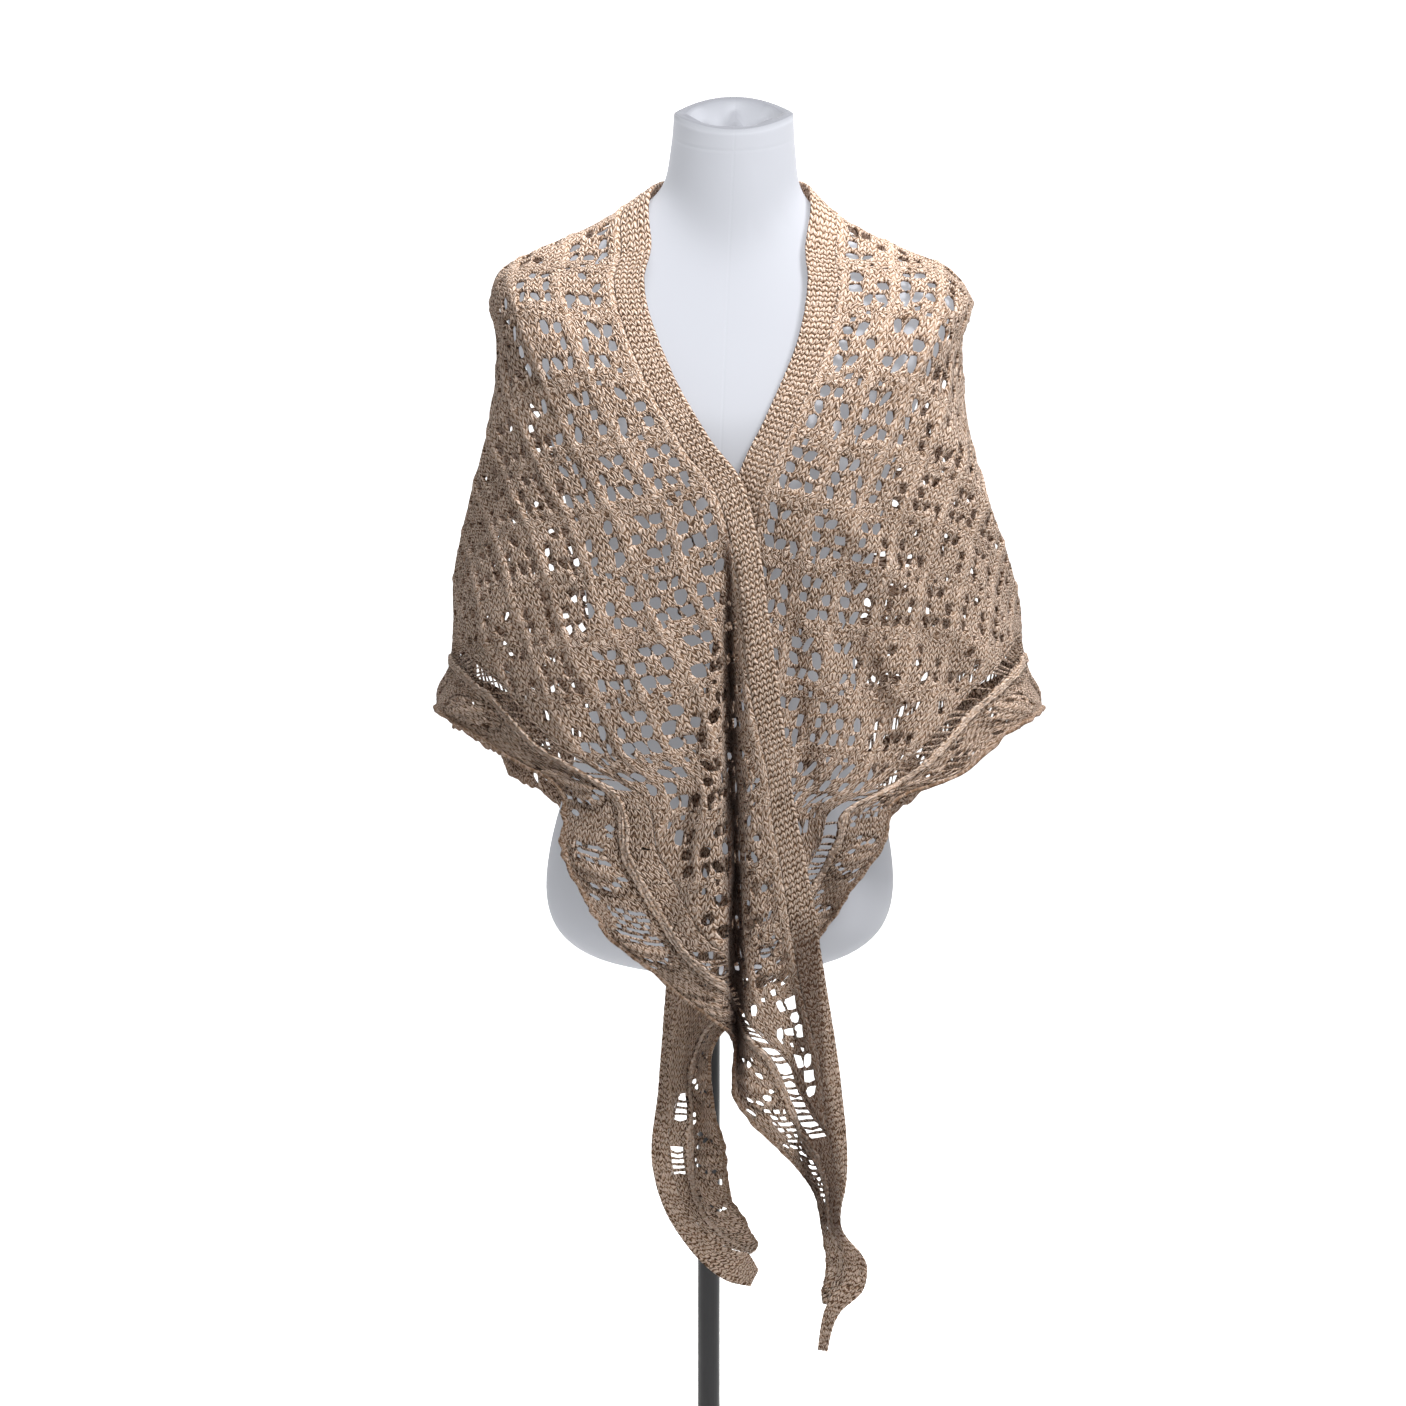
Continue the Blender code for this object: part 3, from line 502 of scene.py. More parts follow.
def woolMaterial(name, look):
    material, tree = newMaterial(name)
    flat = addNode(tree, "ShaderNodeUVMap", {}, uv_map="flat")
    zone = addNode(tree, "ShaderNodeAttribute", {}, "Fac", attribute_name="crepe")
    wobble = addNode(
        tree, "ShaderNodeTexNoise", {"Vector": flat, "Scale": 1 / look["wavePitch"], "Detail": 2.0}, "Color"
    )
    shifted = addNode(tree, "ShaderNodeVectorMath", {0: wobble, 1: (0.5, 0.5, 0.5)}, operation="SUBTRACT")
    waver = addNode(
        tree, "ShaderNodeMapRange", {0: zone, 1: 0.0, 2: 1.0, 3: look["waver"], 4: look["crepeWaver"]}
    )
    scaled = addNode(tree, "ShaderNodeVectorMath", {0: shifted, "Scale": waver}, operation="SCALE")
    moved = addNode(tree, "ShaderNodeVectorMath", {0: flat, 1: scaled}, operation="ADD")
    across = addNode(tree, "ShaderNodeSeparateXYZ", {0: moved}, "X")
    along = addNode(tree, "ShaderNodeSeparateXYZ", {0: moved}, "Y")
    wale = addNode(tree, "ShaderNodeMath", {0: across, 1: look["wale"]}, operation="DIVIDE")
    inWale = addNode(tree, "ShaderNodeMath", {0: wale}, operation="FRACT")
    centred = addNode(tree, "ShaderNodeMath", {0: inWale, 1: 0.5}, operation="SUBTRACT")
    leg = addNode(tree, "ShaderNodeMath", {0: centred}, operation="ABSOLUTE")
    course = addNode(tree, "ShaderNodeMath", {0: along, 1: look["course"]}, operation="DIVIDE")
    slanted = addNode(
        tree, "ShaderNodeMath", {0: leg, 1: 2 * look["slant"], 2: course}, operation="MULTIPLY_ADD"
    )
    turn = addNode(tree, "ShaderNodeMath", {0: slanted, 1: 2 * math.pi}, operation="MULTIPLY")
    wave = addNode(tree, "ShaderNodeMath", {0: turn}, operation="COSINE")
    stripe = addNode(tree, "ShaderNodeMath", {0: wave, 1: 0.5, 2: 0.5}, operation="MULTIPLY_ADD")
    halfLeg = addNode(tree, "ShaderNodeMath", {0: leg, 1: 0.25}, operation="SUBTRACT")
    legCurve = addNode(tree, "ShaderNodeMath", {0: halfLeg, 1: halfLeg}, operation="MULTIPLY")
    legRound = addNode(
        tree, "ShaderNodeMath", {0: legCurve, 1: look["legCurve"], 2: 1.0}, operation="MULTIPLY_ADD"
    )
    stocking = addNode(tree, "ShaderNodeMath", {0: legRound, 1: stripe}, operation="MULTIPLY")
    fibres = addNode(
        tree, "ShaderNodeTexNoise",
        {"Vector": flat, "Scale": 1 / look["fuzz"], "Detail": 3.0, "Roughness": 0.6},
    )
    height = addNode(
        tree, "ShaderNodeMath", {0: fibres, 1: look["fuzzShare"], 2: stocking}, operation="MULTIPLY_ADD"
    )
    melange = addNode(
        tree, "ShaderNodeTexNoise",
        {"Vector": flat, "Scale": look["melangeScale"], "Detail": 4.0, "Roughness": 0.65},
    )
    mottled = addNode(
        tree, "ShaderNodeMath", {0: melange, 1: look["melangeShare"], 2: height}, operation="MULTIPLY_ADD"
    )
    # Painted light and shade from the rib zone: lighter on raised ribs and cable strands, darker in furrows
    rib = addNode(tree, "ShaderNodeAttribute", {}, "Fac", attribute_name="rib")
    tone = addNode(
        tree, "ShaderNodeMath", {0: rib, 1: look["paintedReliefShare"], 2: mottled}, operation="MULTIPLY_ADD"
    )
    # Painted shade and highlight: low stitch heights take the deep colour, the loop tops the bright colour
    ready = addNode(
        tree, "ShaderNodeMapRange", {0: tone, 1: look["darkest"], 2: look["brightest"], 3: 0.0, 4: 1.0}
    )
    shades = [look[label] for label in ("deep", "shade", "mid", "light", "bright")]
    colour = addNode(tree, "ShaderNodeValToRGB", {0: ready}, stops=tuple(zip(look["stops"], shades)))
    # Painted shade on the border's rolled rim: mixed towards the shade colour
    rimShade = addNode(tree, "ShaderNodeAttribute", {}, "Fac", attribute_name="rimShade")
    darker = addNode(tree, "ShaderNodeMath", {0: rimShade, 1: look["rimShadeShare"]}, operation="MULTIPLY")
    rimShaded = addNode(
        tree, "ShaderNodeMix", {"Factor": darker, 6: colour, 7: linearColour(look["shade"])}, 2,
        data_type="RGBA",
    )
    # Painted shade in the great pleat and the tail's turned-back strip
    paintedShade = addNode(tree, "ShaderNodeAttribute", {}, "Fac", attribute_name="paintedShade")
    shaded = addNode(
        tree, "ShaderNodeMix", {"Factor": paintedShade, 6: rimShaded, 7: linearColour(look["paintedShade"])}, 2,
        data_type="RGBA",
    )
    bump = addNode(
        tree, "ShaderNodeBump",
        {"Strength": look["bumpStrength"], "Distance": look["bumpDepth"], "Height": height},
    )
    yarn = addNode(
        tree, "ShaderNodeBsdfPrincipled",
        {"Base Color": shaded, "Roughness": look["roughness"], "Normal": bump,
         "Specular IOR Level": look["specular"], "Sheen Weight": look["sheenWeight"],
         "Sheen Roughness": look["sheenRoughness"]},
    )
    through = addNode(tree, "ShaderNodeBsdfTranslucent", {"Color": shaded, "Normal": bump})
    surface = addNode(tree, "ShaderNodeMixShader", {0: look["translucency"], 1: yarn, 2: through})
    addNode(tree, "ShaderNodeOutputMaterial", {"Surface": surface})
    return material


def clothPiece(name, half, flatPoints, faces, lift, zones, thickness, material, stitchWay=None):
    # Carries a flat piece onto the drape, then gives it its wall. The material reads the zones: "crepe", the
    # rolled rim's painted shade, and "rib", a painted light and shade over the relief, which is minus in a
    # furrow.
    # It also adds the painted shade of the great pleat and of the tail's turned-back strip.
    s, t = flatPoints[:, 0], flatPoints[:, 1]
    points, normals = half.at(s, t)
    points = points + normals * (lift + creaseHeight(half.side, s, t))[:, None]
    mesh = bpy.data.meshes.new(name)
    if half.side > 0:
        faces = [face[::-1] for face in faces]
    mesh.from_pydata(points.tolist(), [], faces)
    flatMap = mesh.uv_layers.new(name="flat")
    corners = np.zeros(len(mesh.loops), int)
    mesh.loops.foreach_get("vertex_index", corners)
    across, along = (t, s) if stitchWay is None else stitchWay
    ways = np.stack([across[corners], along[corners] * half.side], axis=1)
    flatMap.data.foreach_set("uv", ways.ravel())
    # The painted shade of the deep folds goes in with the zones
    for label, values in {**zones, "paintedShade": half.pleatShade(points)}.items():
        mesh.attributes.new(label, "FLOAT", "POINT").data.foreach_set("value", values)
    piece = bpy.data.objects.new(name, mesh)
    bpy.context.collection.objects.link(piece)
    onlySelect(piece)
    bpy.ops.object.mode_set(mode="EDIT")
    bpy.ops.mesh.select_all(action="SELECT")
    bpy.ops.mesh.delete_loose()
    bpy.ops.mesh.select_all(action="DESELECT")
    bpy.ops.object.mode_set(mode="OBJECT")
    wall = piece.modifiers.new("wall", "SOLIDIFY")
    wall.thickness = thickness
    wall.offset = 0
    wall.use_even_offset = False
    applyModifiers(piece)
    piece.data.materials.append(material)
    piece.data.shade_smooth()
    return piece


def gridLines(start, end, steps):
    # Grid lines from start past end, and each line's number within its repeat
    lines, numbers = [start], [0]
    while lines[-1] < end:
        lines.append(lines[-1] + steps[(len(lines) - 1) % len(steps)])
        numbers.append(len(numbers) % len(steps))
    return np.array(lines), np.array(numbers)


# The lace body: each repeat has a two-stitch rib down one side, a crepe band across, and rows of eyelets.
# Where the cloth hangs bunched at the sides, its eyelets close up. Beside the great pleat they stand wide
# open.
laceKnit = {
    "rib": 0.0072,
    "strand": 0.0026,
    "eyeletWidth": 0.0083,
    "band": 0.0135,
    "bar": 0.0022,
    "eyeletHeight": 0.0109,
    "openEyelets": ((1, 1, 0), (1, 0, 1), (1, 1, 1)),
    "closedShare": 0.08,
    "closedPast": {-1: 0.90, 1: 0.79},
    "bandShare": 0.70,
    "smallest": 0.74,
    "largest": 1.20,
    "bunched": 0.76,
    "bunchStart": 0.095,
    "bunchWidth": 0.060,
    "bunchTop": 1.02,
    "shoulders": {-1: 0.84, 1: 1.08},
    "beside": 1.32,
    "besideFrom": -0.075,
    "besideTop": 0.98,
    "cornerRound": 0.18,
    "slant": 0.42,
    "unevenness": 0.0006,
    "thickness": 0.0024,
    "ribHeight": 0.0012,
    "ribBreak": 0.023,
    "crepeHeight": 0.0005,
    "seed": 11,
    "edgeSnap": 0.3,  # share of a cell that gives way at the slanted edge
    "lumpiness": 0.00015,
    "ribMean": 0.6,
    "ribSwing": 0.4,
    "ribPhase": 1.7,
    "middleX": 0.012,
    "bunchFade": 0.08,
    "shoulderFade": 0.06,
    "besideWidth": 0.03,
    "besideFade": 0.08,
    "bunchShut": 0.4,
    "sideReach": 1.03,
    "leastSlant": 0.2,
}


def lacePanel(name, half, material):
    cut, knit = shawlCut, laceKnit
    rng = np.random.default_rng(knit["seed"] + half.side)
    ribCell, eyeS, eyeT = knit["rib"] / 2, knit["eyeletHeight"] / 2, knit["eyeletWidth"] / 2
    stepsS = [knit["band"] / 3] * 3 + [knit["bar"], eyeS, eyeS] * 3
    stepsT = [ribCell] * 2 + [knit["strand"], eyeT, eyeT] * 3
    top = cut["bandWidth"] + cut["seam"]
    corner = cut["halfSpan"] * (1 - (top + cut["edgingDepth"]) / cut["backDepth"])
    sLines, sNumbers = gridLines(cut["seam"] / 2, corner, stepsS)
    sLines = np.minimum(sLines, corner)
    tLines, tNumbers = gridLines(top, cut["backDepth"], stepsT)
    limits = np.maximum(hemDepth(sLines) - cut["edgingDepth"], top)
    numbers = -np.ones((len(sLines), len(tLines)), int)
    flat = []
    for i, s in enumerate(sLines):
        for j, t in enumerate(tLines):
            gap = knit["edgeSnap"] * (tLines[j] - tLines[j - 1]) if j else 0
            if j and flat[numbers[i, j - 1]][1] >= limits[i] - hair:
                numbers[i, j] = numbers[i, j - 1]
                continue
            numbers[i, j] = len(flat)
            flat.append([s, limits[i] if t > limits[i] - gap else t])
    flat = np.array(flat)
    count = len(flat)
    above = flat[:, 1] < hemDepth(flat[:, 0]) - cut["edgingDepth"] - hair
    inner = above & (flat[:, 1] > top + hair) & (flat[:, 0] > cut["seam"])
    flat += rng.normal(0, knit["unevenness"], (count, 2)) * inner[:, None]
    lift = rng.normal(0, knit["lumpiness"], count)
    crepe, rib = np.zeros(count), np.zeros(count)
    for i in range(len(sLines)):
        for j in range(len(tLines)):
            vertex = numbers[i, j]
            if j and vertex == numbers[i, j - 1]:
                continue
            if sNumbers[i] <= 3:
                crepe[vertex] = 1.0
                lift[vertex] += rng.uniform(-1, 1) * knit["crepeHeight"]
            # The raised rib gets a painted highlight that swells and fades along it
            if tNumbers[j] == 1:
                lift[vertex] += knit["ribHeight"]
                beat = 2 * math.pi * sLines[i] / knit["ribBreak"] + knit["ribPhase"] * j
                rib[vertex] = knit["ribMean"] + knit["ribSwing"] * math.sin(beat)
    places = half.at(flat[:, 0], flat[:, 1])[0]
    sideways = softStep((np.abs(places[:, 0] - knit["middleX"]) - knit["bunchStart"]) / knit["bunchWidth"])
    sideways *= 1 - softStep((places[:, 2] - knit["bunchTop"]) / knit["bunchFade"])
    openness = 1 - (1 - knit["bunched"]) * sideways
    onShoulder = softStep((places[:, 2] - knit["bunchTop"]) / knit["shoulderFade"])
    openness += (knit["shoulders"][half.side] - 1) * onShoulder
    if half.side < 0:
        beside = softStep((places[:, 0] - knit["besideFrom"]) / knit["besideWidth"])
        beside *= softStep((knit["besideTop"] - places[:, 2]) / knit["besideFade"]) * (places[:, 1] < 0)
        openness += (knit["beside"] - 1) * np.maximum(beside, half.tailShade(places))
    skipped = set()
    for i in range(len(sLines) - 2):
        for j in range(len(tLines) - 2):
            row, column = (sNumbers[i] - 4) / 3, (tNumbers[j] - 3) / 3
            zigzag = sNumbers[i] if (i // len(stepsS) + j // len(stepsT)) % 2 else 2 - sNumbers[i]
            if sNumbers[i] < 3 and tNumbers[j] == 3 * zigzag + 4:
                clear = tLines[j + 1] + knit["strand"] < limits[i + 1]
                if clear and rng.random() < knit["bandShare"] * openness[numbers[i, j]]:
                    skipped.add((i, j))
            if row not in (0, 1, 2) or column not in (0, 1, 2):
                continue
            if not knit["openEyelets"][int(row)][int(column)] or rng.random() < knit["closedShare"]:
                continue
            block = [numbers[i + a, j + b] for a in range(3) for b in range(3)]
            if len(set(block)) < 9 or tLines[j + 2] + knit["strand"] > limits[i + 2]:
                continue
            centre = np.array([sLines[i + 1], tLines[j + 1]])
            size = rng.uniform(knit["smallest"], knit["largest"], 2) * np.array([1.0, openness[block[4]]])
            slant = knit["slant"] * rng.uniform(knit["leastSlant"], 1.0) * (1 if column != 1 else -1)
            shut = rng.random() < knit["bunchShut"] * (1 - openness[block[4]])
            if shut or sLines[i] > knit["closedPast"][half.side]:
                continue
            for k, vertex in enumerate(block):
                if k == 4:
                    continue
                away = (flat[vertex] - centre) * size
                away *= 1 - knit["cornerRound"] if k in (0, 2, 6, 8) else knit["sideReach"]
                flat[vertex] = centre + away + np.array([0.0, slant * away[0]])
            skipped.update([(i, j), (i + 1, j), (i, j + 1), (i + 1, j + 1)])
    faces = []
    for i in range(len(sLines) - 1):
        for j in range(len(tLines) - 1):
            if (i, j) in skipped:
                continue
            ring = [numbers[i, j], numbers[i + 1, j], numbers[i + 1, j + 1], numbers[i, j + 1]]
            ring = [int(v) for k, v in enumerate(ring) if v != ring[k - 1]]
            if len(ring) >= 3 and len(set(ring)) == len(ring) and np.ptp(flat[ring, 0]) > hair:
                faces.append(ring)
    print(name, "eyelets", len(skipped) // 4, "faces", len(faces))
    zones = {"crepe": crepe, "rib": rib}
    piece = clothPiece(name, half, flat, faces, lift, zones, knit["thickness"], material)
    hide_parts("lace_panel_" + ("left" if half.side < 0 else "right"))
    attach(piece, "root")
    return piece


# The garter-stitch band along the top edge: five ridges of purl bumps and a chain of edge stitches
neckBand = {
    "stepS": 0.0021,
    "rows": 16,
    "ridges": 5,
    "ridgeHeight": 0.0012,
    "bumpPitch": 0.0084,
    "tailTop": 0.66,
    "thickness": 0.0028,
    "unevenness": 0.00022,
    "seed": 23,
    "bumpMean": 0.8,
    "bumpSwing": 0.2,
    "brickShift": 0.5,  # of a bump's length, from one ridge to the next
    "lumpiness": 0.00012,
    "chainWidth": 0.003,
    "chainPitch": 0.0052,
    "chainHeight": 0.0006,
    "tailFade": 0.10,
    "tailFlatter": 0.6,
}
# Its yarn lies square to the band, one ridge to each of its wales
garterLook = {
    **wool,
    "wale": shawlCut["bandWidth"] / neckBand["ridges"],
    "course": 0.0050,
    "slant": 0.6,
    "waver": 0.0105,
    "crepeWaver": 0.0050,
    "deep": "#4A3425",
}


def garterBand(name, half, material):
    cut, knit = shawlCut, neckBand
    rng = np.random.default_rng(knit["seed"] + half.side)
    sLines = np.linspace(cut["seam"] / 2, cut["tipEnd"], round(cut["tipEnd"] / knit["stepS"]))
    tLines = np.linspace(0, cut["bandWidth"], knit["rows"] + 1)
    s, t = [grid.ravel() for grid in np.meshgrid(sLines, tLines, indexing="ij")]
    ridge = t / cut["bandWidth"] * knit["ridges"]
    across = 0.5 - 0.5 * np.cos(2 * math.pi * ridge)
    shift = np.floor(ridge) * knit["brickShift"]
    bumps = knit["bumpMean"] + knit["bumpSwing"] * np.cos(2 * math.pi * (s / knit["bumpPitch"] + shift))
    lift = knit["ridgeHeight"] * across * bumps + rng.normal(0, knit["lumpiness"], len(s))
    links = 0.5 + 0.5 * np.cos(2 * math.pi * s / knit["chainPitch"])
    chain = (t < knit["chainWidth"]) * links * knit["chainHeight"]
    inner = (t > hair) & (t < cut["bandWidth"] - hair)
    flat = np.stack([s, t], axis=1) + rng.normal(0, knit["unevenness"], (len(s), 2)) * inner[:, None]
    width = len(tLines)
    faces = []
    for i in range(len(sLines) - 1):
        for j in range(width - 1):
            first = i * width + j
            faces.append([first, first + width, first + width + 1, first + 1])
    hanging = softStep((knit["tailTop"] - half.at(s, t)[0][:, 2]) / knit["tailFade"])
    lift *= 1 - knit["tailFlatter"] * hanging
    zones = {"crepe": 1 - hanging}
    piece = clothPiece(name, half, flat, faces, lift + chain, zones, knit["thickness"], material)
    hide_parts("neck_band_" + ("left" if half.side < 0 else "right"))
    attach(piece, "root")
    print(name, "faces", len(faces))
    return piece


# The border along the hem: a ladder of long openings, a cable of three strands, then leaf fans with arcs of
# eyelets. A tone is how much lighter or darker the yarn is painted there, as painted highlight on raised
# strands and veins and painted shade in furrows and sunk outlines. Widths in the fan are shares of a repeat.
hemBorder = {
    "ladderPitch": 0.0066,
    "ladderBar": 0.0021,
    "seamStrip": 0.0030,
    "ladderDepth": 0.0190,
    "barBow": 0.0010,
    "lostBars": 0.16,
    "cableDepth": 0.0095,
    "cablePitch": 0.034,
    "cableRows": 11,
    "cableHeight": 0.0023,
    "strandPitch": 0.0031,
    "strandSwing": 0.0007,
    "strandWidth": 0.0010,
    "fanRows": 14,
    "rimDepth": 0.0050,
    "scallopDepth": 0.0024,
    "scallopPitch": 0.080,
    "raggedDepth": 0.0012,
    "leafHeight": 0.0030,
    "leafHalf": 0.30,
    "veins": 7,
    "thickness": 0.0026,
    "unevenness": 0.00035,
    "seed": 37,
    "cableMargin": 0.002,
    "tipRest": 0.004,
    "raggedWeights": (0.3, 0.6, 0.8, 0.6, 0.3),
    "bowBeats": (2.4, 5.1),
    "quickShare": 0.6,
    "strandMost": 1.15,
    "strandHighlight": 3.2,
    "cableGroundShade": 1.5,
    "furrowInset": 0.0008,
    "furrowWidth": 0.0011,
    "furrowShade": 1.2,
    "leafWidth": 0.24,
    "leafRound": 0.7,
    "outlineWidth": 0.035,
    "outlineDepth": 0.0008,
    "outlineShade": 0.8,
    "veinNarrow": 0.35,
    "veinReach": 0.3,
    "veinHeight": 0.0006,
    "veinLightAndShade": 0.35,
    "fanInset": 0.001,
    "firstCurl": 0.0016,
    "secondCurl": 0.0012,
    "crepeLeast": 0.25,
    "lumpiness": 0.00012,
    "ladderFrom": 0.3,  # least share of the full depth that has a ladder
    "closedBars": 0.03,
    "fanFrom": 0.45,  # least share of the full depth that has eyelets
    "fanRepeat": 12,
    "eyeletLeast": 0.85,
    "eyeletMost": 1.2,
    "eyeletCorner": 0.85,
    "eyeletSide": 1.25,
}
# Where the ladder stands open, as s from and to, at the left and right. Elsewhere its bars have closed up.
openLadder = {
    -1: ((0.0, 0.62), (0.745, 0.935)),
    1: ((0.0, 0.80), (0.903, 0.925), (0.948, 0.972)),
}
# Parts pulled open by the weight of the cloth: s from and to, share of the border's depth from and to
pulledOpen = {
    -1: (
        (0.150, 0.190, 0.50, 0.75),
        (0.612, 0.634, 0.80, 0.95),
        (0.662, 0.680, 0.55, 0.80),
        (0.715, 0.745, 0.45, 0.75),
        (0.905, 0.990, 0.30, 0.62),
    ),
    1: ((0.590, 0.650, 0.50, 0.80), (0.150, 0.200, 0.55, 0.80)),
}
# Eyelets of one fan, in twelfths of a repeat along the hem and in rows of the fan
fanEyelets = ((1, 1), (2, 3), (3, 6), (3, 9), (6, 1), (7, 1), (9, 4), (10, 6), (10, 9), (11, 3), (5, 11))


def lacyBorder(name, half, material):
    cut, knit = shawlCut, hemBorder
    rng = np.random.default_rng(knit["seed"] + half.side)
    slanted = math.hypot(1, cut["backDepth"] / cut["halfSpan"])
    barS, holeS = knit["ladderBar"] / slanted, (knit["ladderPitch"] - knit["ladderBar"]) / 2 / slanted
    top = cut["bandWidth"] + cut["slantedSeam"]
    last = cut["halfSpan"] * (1 - (top + knit["tipRest"]) / cut["backDepth"])
    sLines, sNumbers = gridLines(cut["seam"] / 2, last - barS, [barS, holeS, holeS])
    depth = cut["edgingDepth"] - cut["slantedSeam"]
    ladderEnd = knit["seamStrip"] + knit["ladderDepth"]
    fanStart = ladderEnd + knit["cableMargin"] + knit["cableDepth"] + knit["cableMargin"]
    fanEnd = depth - knit["rimDepth"]
    rows = [0.0, knit["seamStrip"], knit["seamStrip"] + knit["ladderDepth"] / 2, ladderEnd]
    cableTop, cableRows = ladderEnd + knit["cableMargin"], knit["cableRows"]
    rows += [cableTop + knit["cableDepth"] * k / (cableRows - 1) for k in range(cableRows)]
    rows += [fanStart + (fanEnd - fanStart) * k / knit["fanRows"] for k in range(knit["fanRows"] + 1)]
    rows += [depth - knit["rimDepth"] / 2, depth]
    rows = np.array(rows)
    cableMiddle = rows[4] + knit["cableDepth"] / 2
    fanFirst = 4 + cableRows
    width = len(rows)
    cableEnds = (ladderEnd + knit["furrowInset"], fanStart - knit["furrowInset"])
    flat, lift, crepe, rimShade, rib, ways = [], [], [], [], [], []
    ragged = np.convolve(rng.normal(0, 1.0, len(sLines) + 4), knit["raggedWeights"], "valid")
    for number, s in enumerate(sLines):
        high = max(hemDepth(s) - cut["edgingDepth"] + cut["slantedSeam"], top)
        scale = (hemDepth(s) - high) / depth
        w = s * slanted
        scallop = knit["scallopDepth"] * math.cos(2 * math.pi * w / knit["scallopPitch"])
        t = high + rows * scale
        t += scallop * np.clip((rows - fanStart) / (depth - fanStart), 0, 1) * scale
        t += ragged[number] * knit["raggedDepth"] * (rows > fanEnd) * scale
        bowed = np.zeros(width)
        slow, quick = [math.sin(beat * (number // 3)) for beat in knit["bowBeats"]]
        bowed[2] = knit["barBow"] * (slow + knit["quickShare"] * quick) * (sLines[3] < s < sLines[-6])
        ways += [[value, w] for value in rows * scale]
        flat += [[s + shift, value] for shift, value in zip(bowed, t)]
        swing = knit["strandSwing"] * math.sin(2 * math.pi * w / knit["cablePitch"])
        middles = [cableMiddle + sign * (knit["strandPitch"] + swing) for sign in (-1, 0, 1)]
        strands = sum(np.exp(-(((rows - middle) / knit["strandWidth"]) ** 2)) for middle in middles)
        across = np.clip(strands, 0, knit["strandMost"]) * knit["cableHeight"] * scale
        inFan = np.clip((rows - fanStart) / (fanEnd - fanStart), 0, 1)
        around = (w / knit["scallopPitch"] + 0.5) % 1.0 - 0.5
        belly = np.sin(math.pi * inFan)
        leaf = np.exp(-((around / knit["leafWidth"]) ** 2)) * belly * (rows > fanStart)
        curl = knit["firstCurl"] * (rows >= fanEnd + hair) + knit["secondCurl"] * (rows >= depth - hair)
        fromOutline = np.abs(around) - knit["leafHalf"] * belly ** knit["leafRound"]
        outline = np.exp(-((fromOutline / knit["outlineWidth"]) ** 2))
        vein = np.cos(2 * math.pi * around * knit["veins"] / (knit["veinNarrow"] + belly))
        vein = vein * (np.abs(around) < knit["veinReach"])
        fanned = (rows > fanStart + knit["fanInset"]) * (rows < fanEnd)
        furrow = sum(np.exp(-(((rows - end) / knit["furrowWidth"]) ** 2)) for end in cableEnds)
        inCable = (rows > cableEnds[0]) * (rows < cableEnds[1])
        # Painted light and shade on the relief: strands and raised veins lighter; the ground between strands,
        # the furrows and the sunk outlines darker
        cableLightAndShade = inCable * (knit["strandHighlight"] * strands - knit["cableGroundShade"])
        leafLightAndShade = fanned * (knit["outlineShade"] * outline - knit["veinLightAndShade"] * vein)
        rib += list(cableLightAndShade - knit["furrowShade"] * furrow - leafLightAndShade)
        relief = fanned * (knit["veinHeight"] * vein - knit["outlineDepth"] * outline)
        lift += list(across + (leaf * knit["leafHeight"] + relief) * scale + curl * scale)
        crepe += list(knit["crepeLeast"] + (1 - knit["crepeLeast"]) * (rows > fanEnd))
        # The rolled rim's rows get painted shade
        rimShade += list(1.0 * (rows > fanEnd + hair))
    flat, lift = np.array(flat), np.array(lift)
    zones = {"crepe": np.array(crepe), "rimShade": np.array(rimShade), "rib": np.array(rib)}
    free = np.tile((rows > hair) & (rows < depth - hair), len(sLines))
    free[:width] = False
    flat += rng.normal(0, knit["unevenness"], flat.shape) * free[:, None]
    lift += rng.normal(0, knit["lumpiness"], len(lift))
    skipped = set()
    for i in range(1, len(sLines) - 3):
        if sNumbers[i] != 1:
            continue
        scale = (flat[(i + 2) * width + width - 1, 1] - flat[(i + 2) * width, 1]) / depth
        here = sLines[i + 1]
        laddered = scale > knit["ladderFrom"] and any(a <= here <= b for a, b in openLadder[half.side])
        if laddered and rng.random() > knit["closedBars"]:
            skipped.update([(i, 1), (i, 2), (i + 1, 1), (i + 1, 2)])
            if rng.random() < knit["lostBars"] and i > 3:
                skipped.update([(i - 1, 1), (i - 1, 2)])
        for start, end, high, low in pulledOpen[half.side]:
            for j in range(fanFirst, width - 3):
                share = rows[j] / depth
                if start <= here <= end and high <= share <= low and (j - fanFirst + i // 3) % 3 != 2:
                    skipped.update([(i, j), (i + 1, j)])
        place = (i // 3) % knit["fanRepeat"]
        for along, row in fanEyelets:
            if along == place and scale > knit["fanFrom"]:
                first = fanFirst + row
                swell = rng.uniform(knit["eyeletLeast"], knit["eyeletMost"])
                centre = flat[(i + 1) * width + first + 1].copy()
                for a in range(3):
                    for b in range(3):
                        vertex = (i + a) * width + first + b
                        if (a, b) == (1, 1):
                            continue
                        stretch = knit["eyeletCorner"] if a != 1 and b != 1 else knit["eyeletSide"]
                        flat[vertex] = centre + (flat[vertex] - centre) * swell * stretch
                skipped.update([(i, first), (i, first + 1), (i + 1, first), (i + 1, first + 1)])
    faces = []
    for i in range(len(sLines) - 1):
        for j in range(width - 1):
            if (i, j) not in skipped:
                first = i * width + j
                faces.append([first, first + width, first + width + 1, first + 1])
    ways = np.array(ways).T
    piece = clothPiece(name, half, flat, faces, lift, zones, knit["thickness"], material, ways)
    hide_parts("edging_" + ("left" if half.side < 0 else "right"))
    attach(piece, "root")
    print(name, "openings", len(skipped) // 4, "faces", len(faces))
    return piece


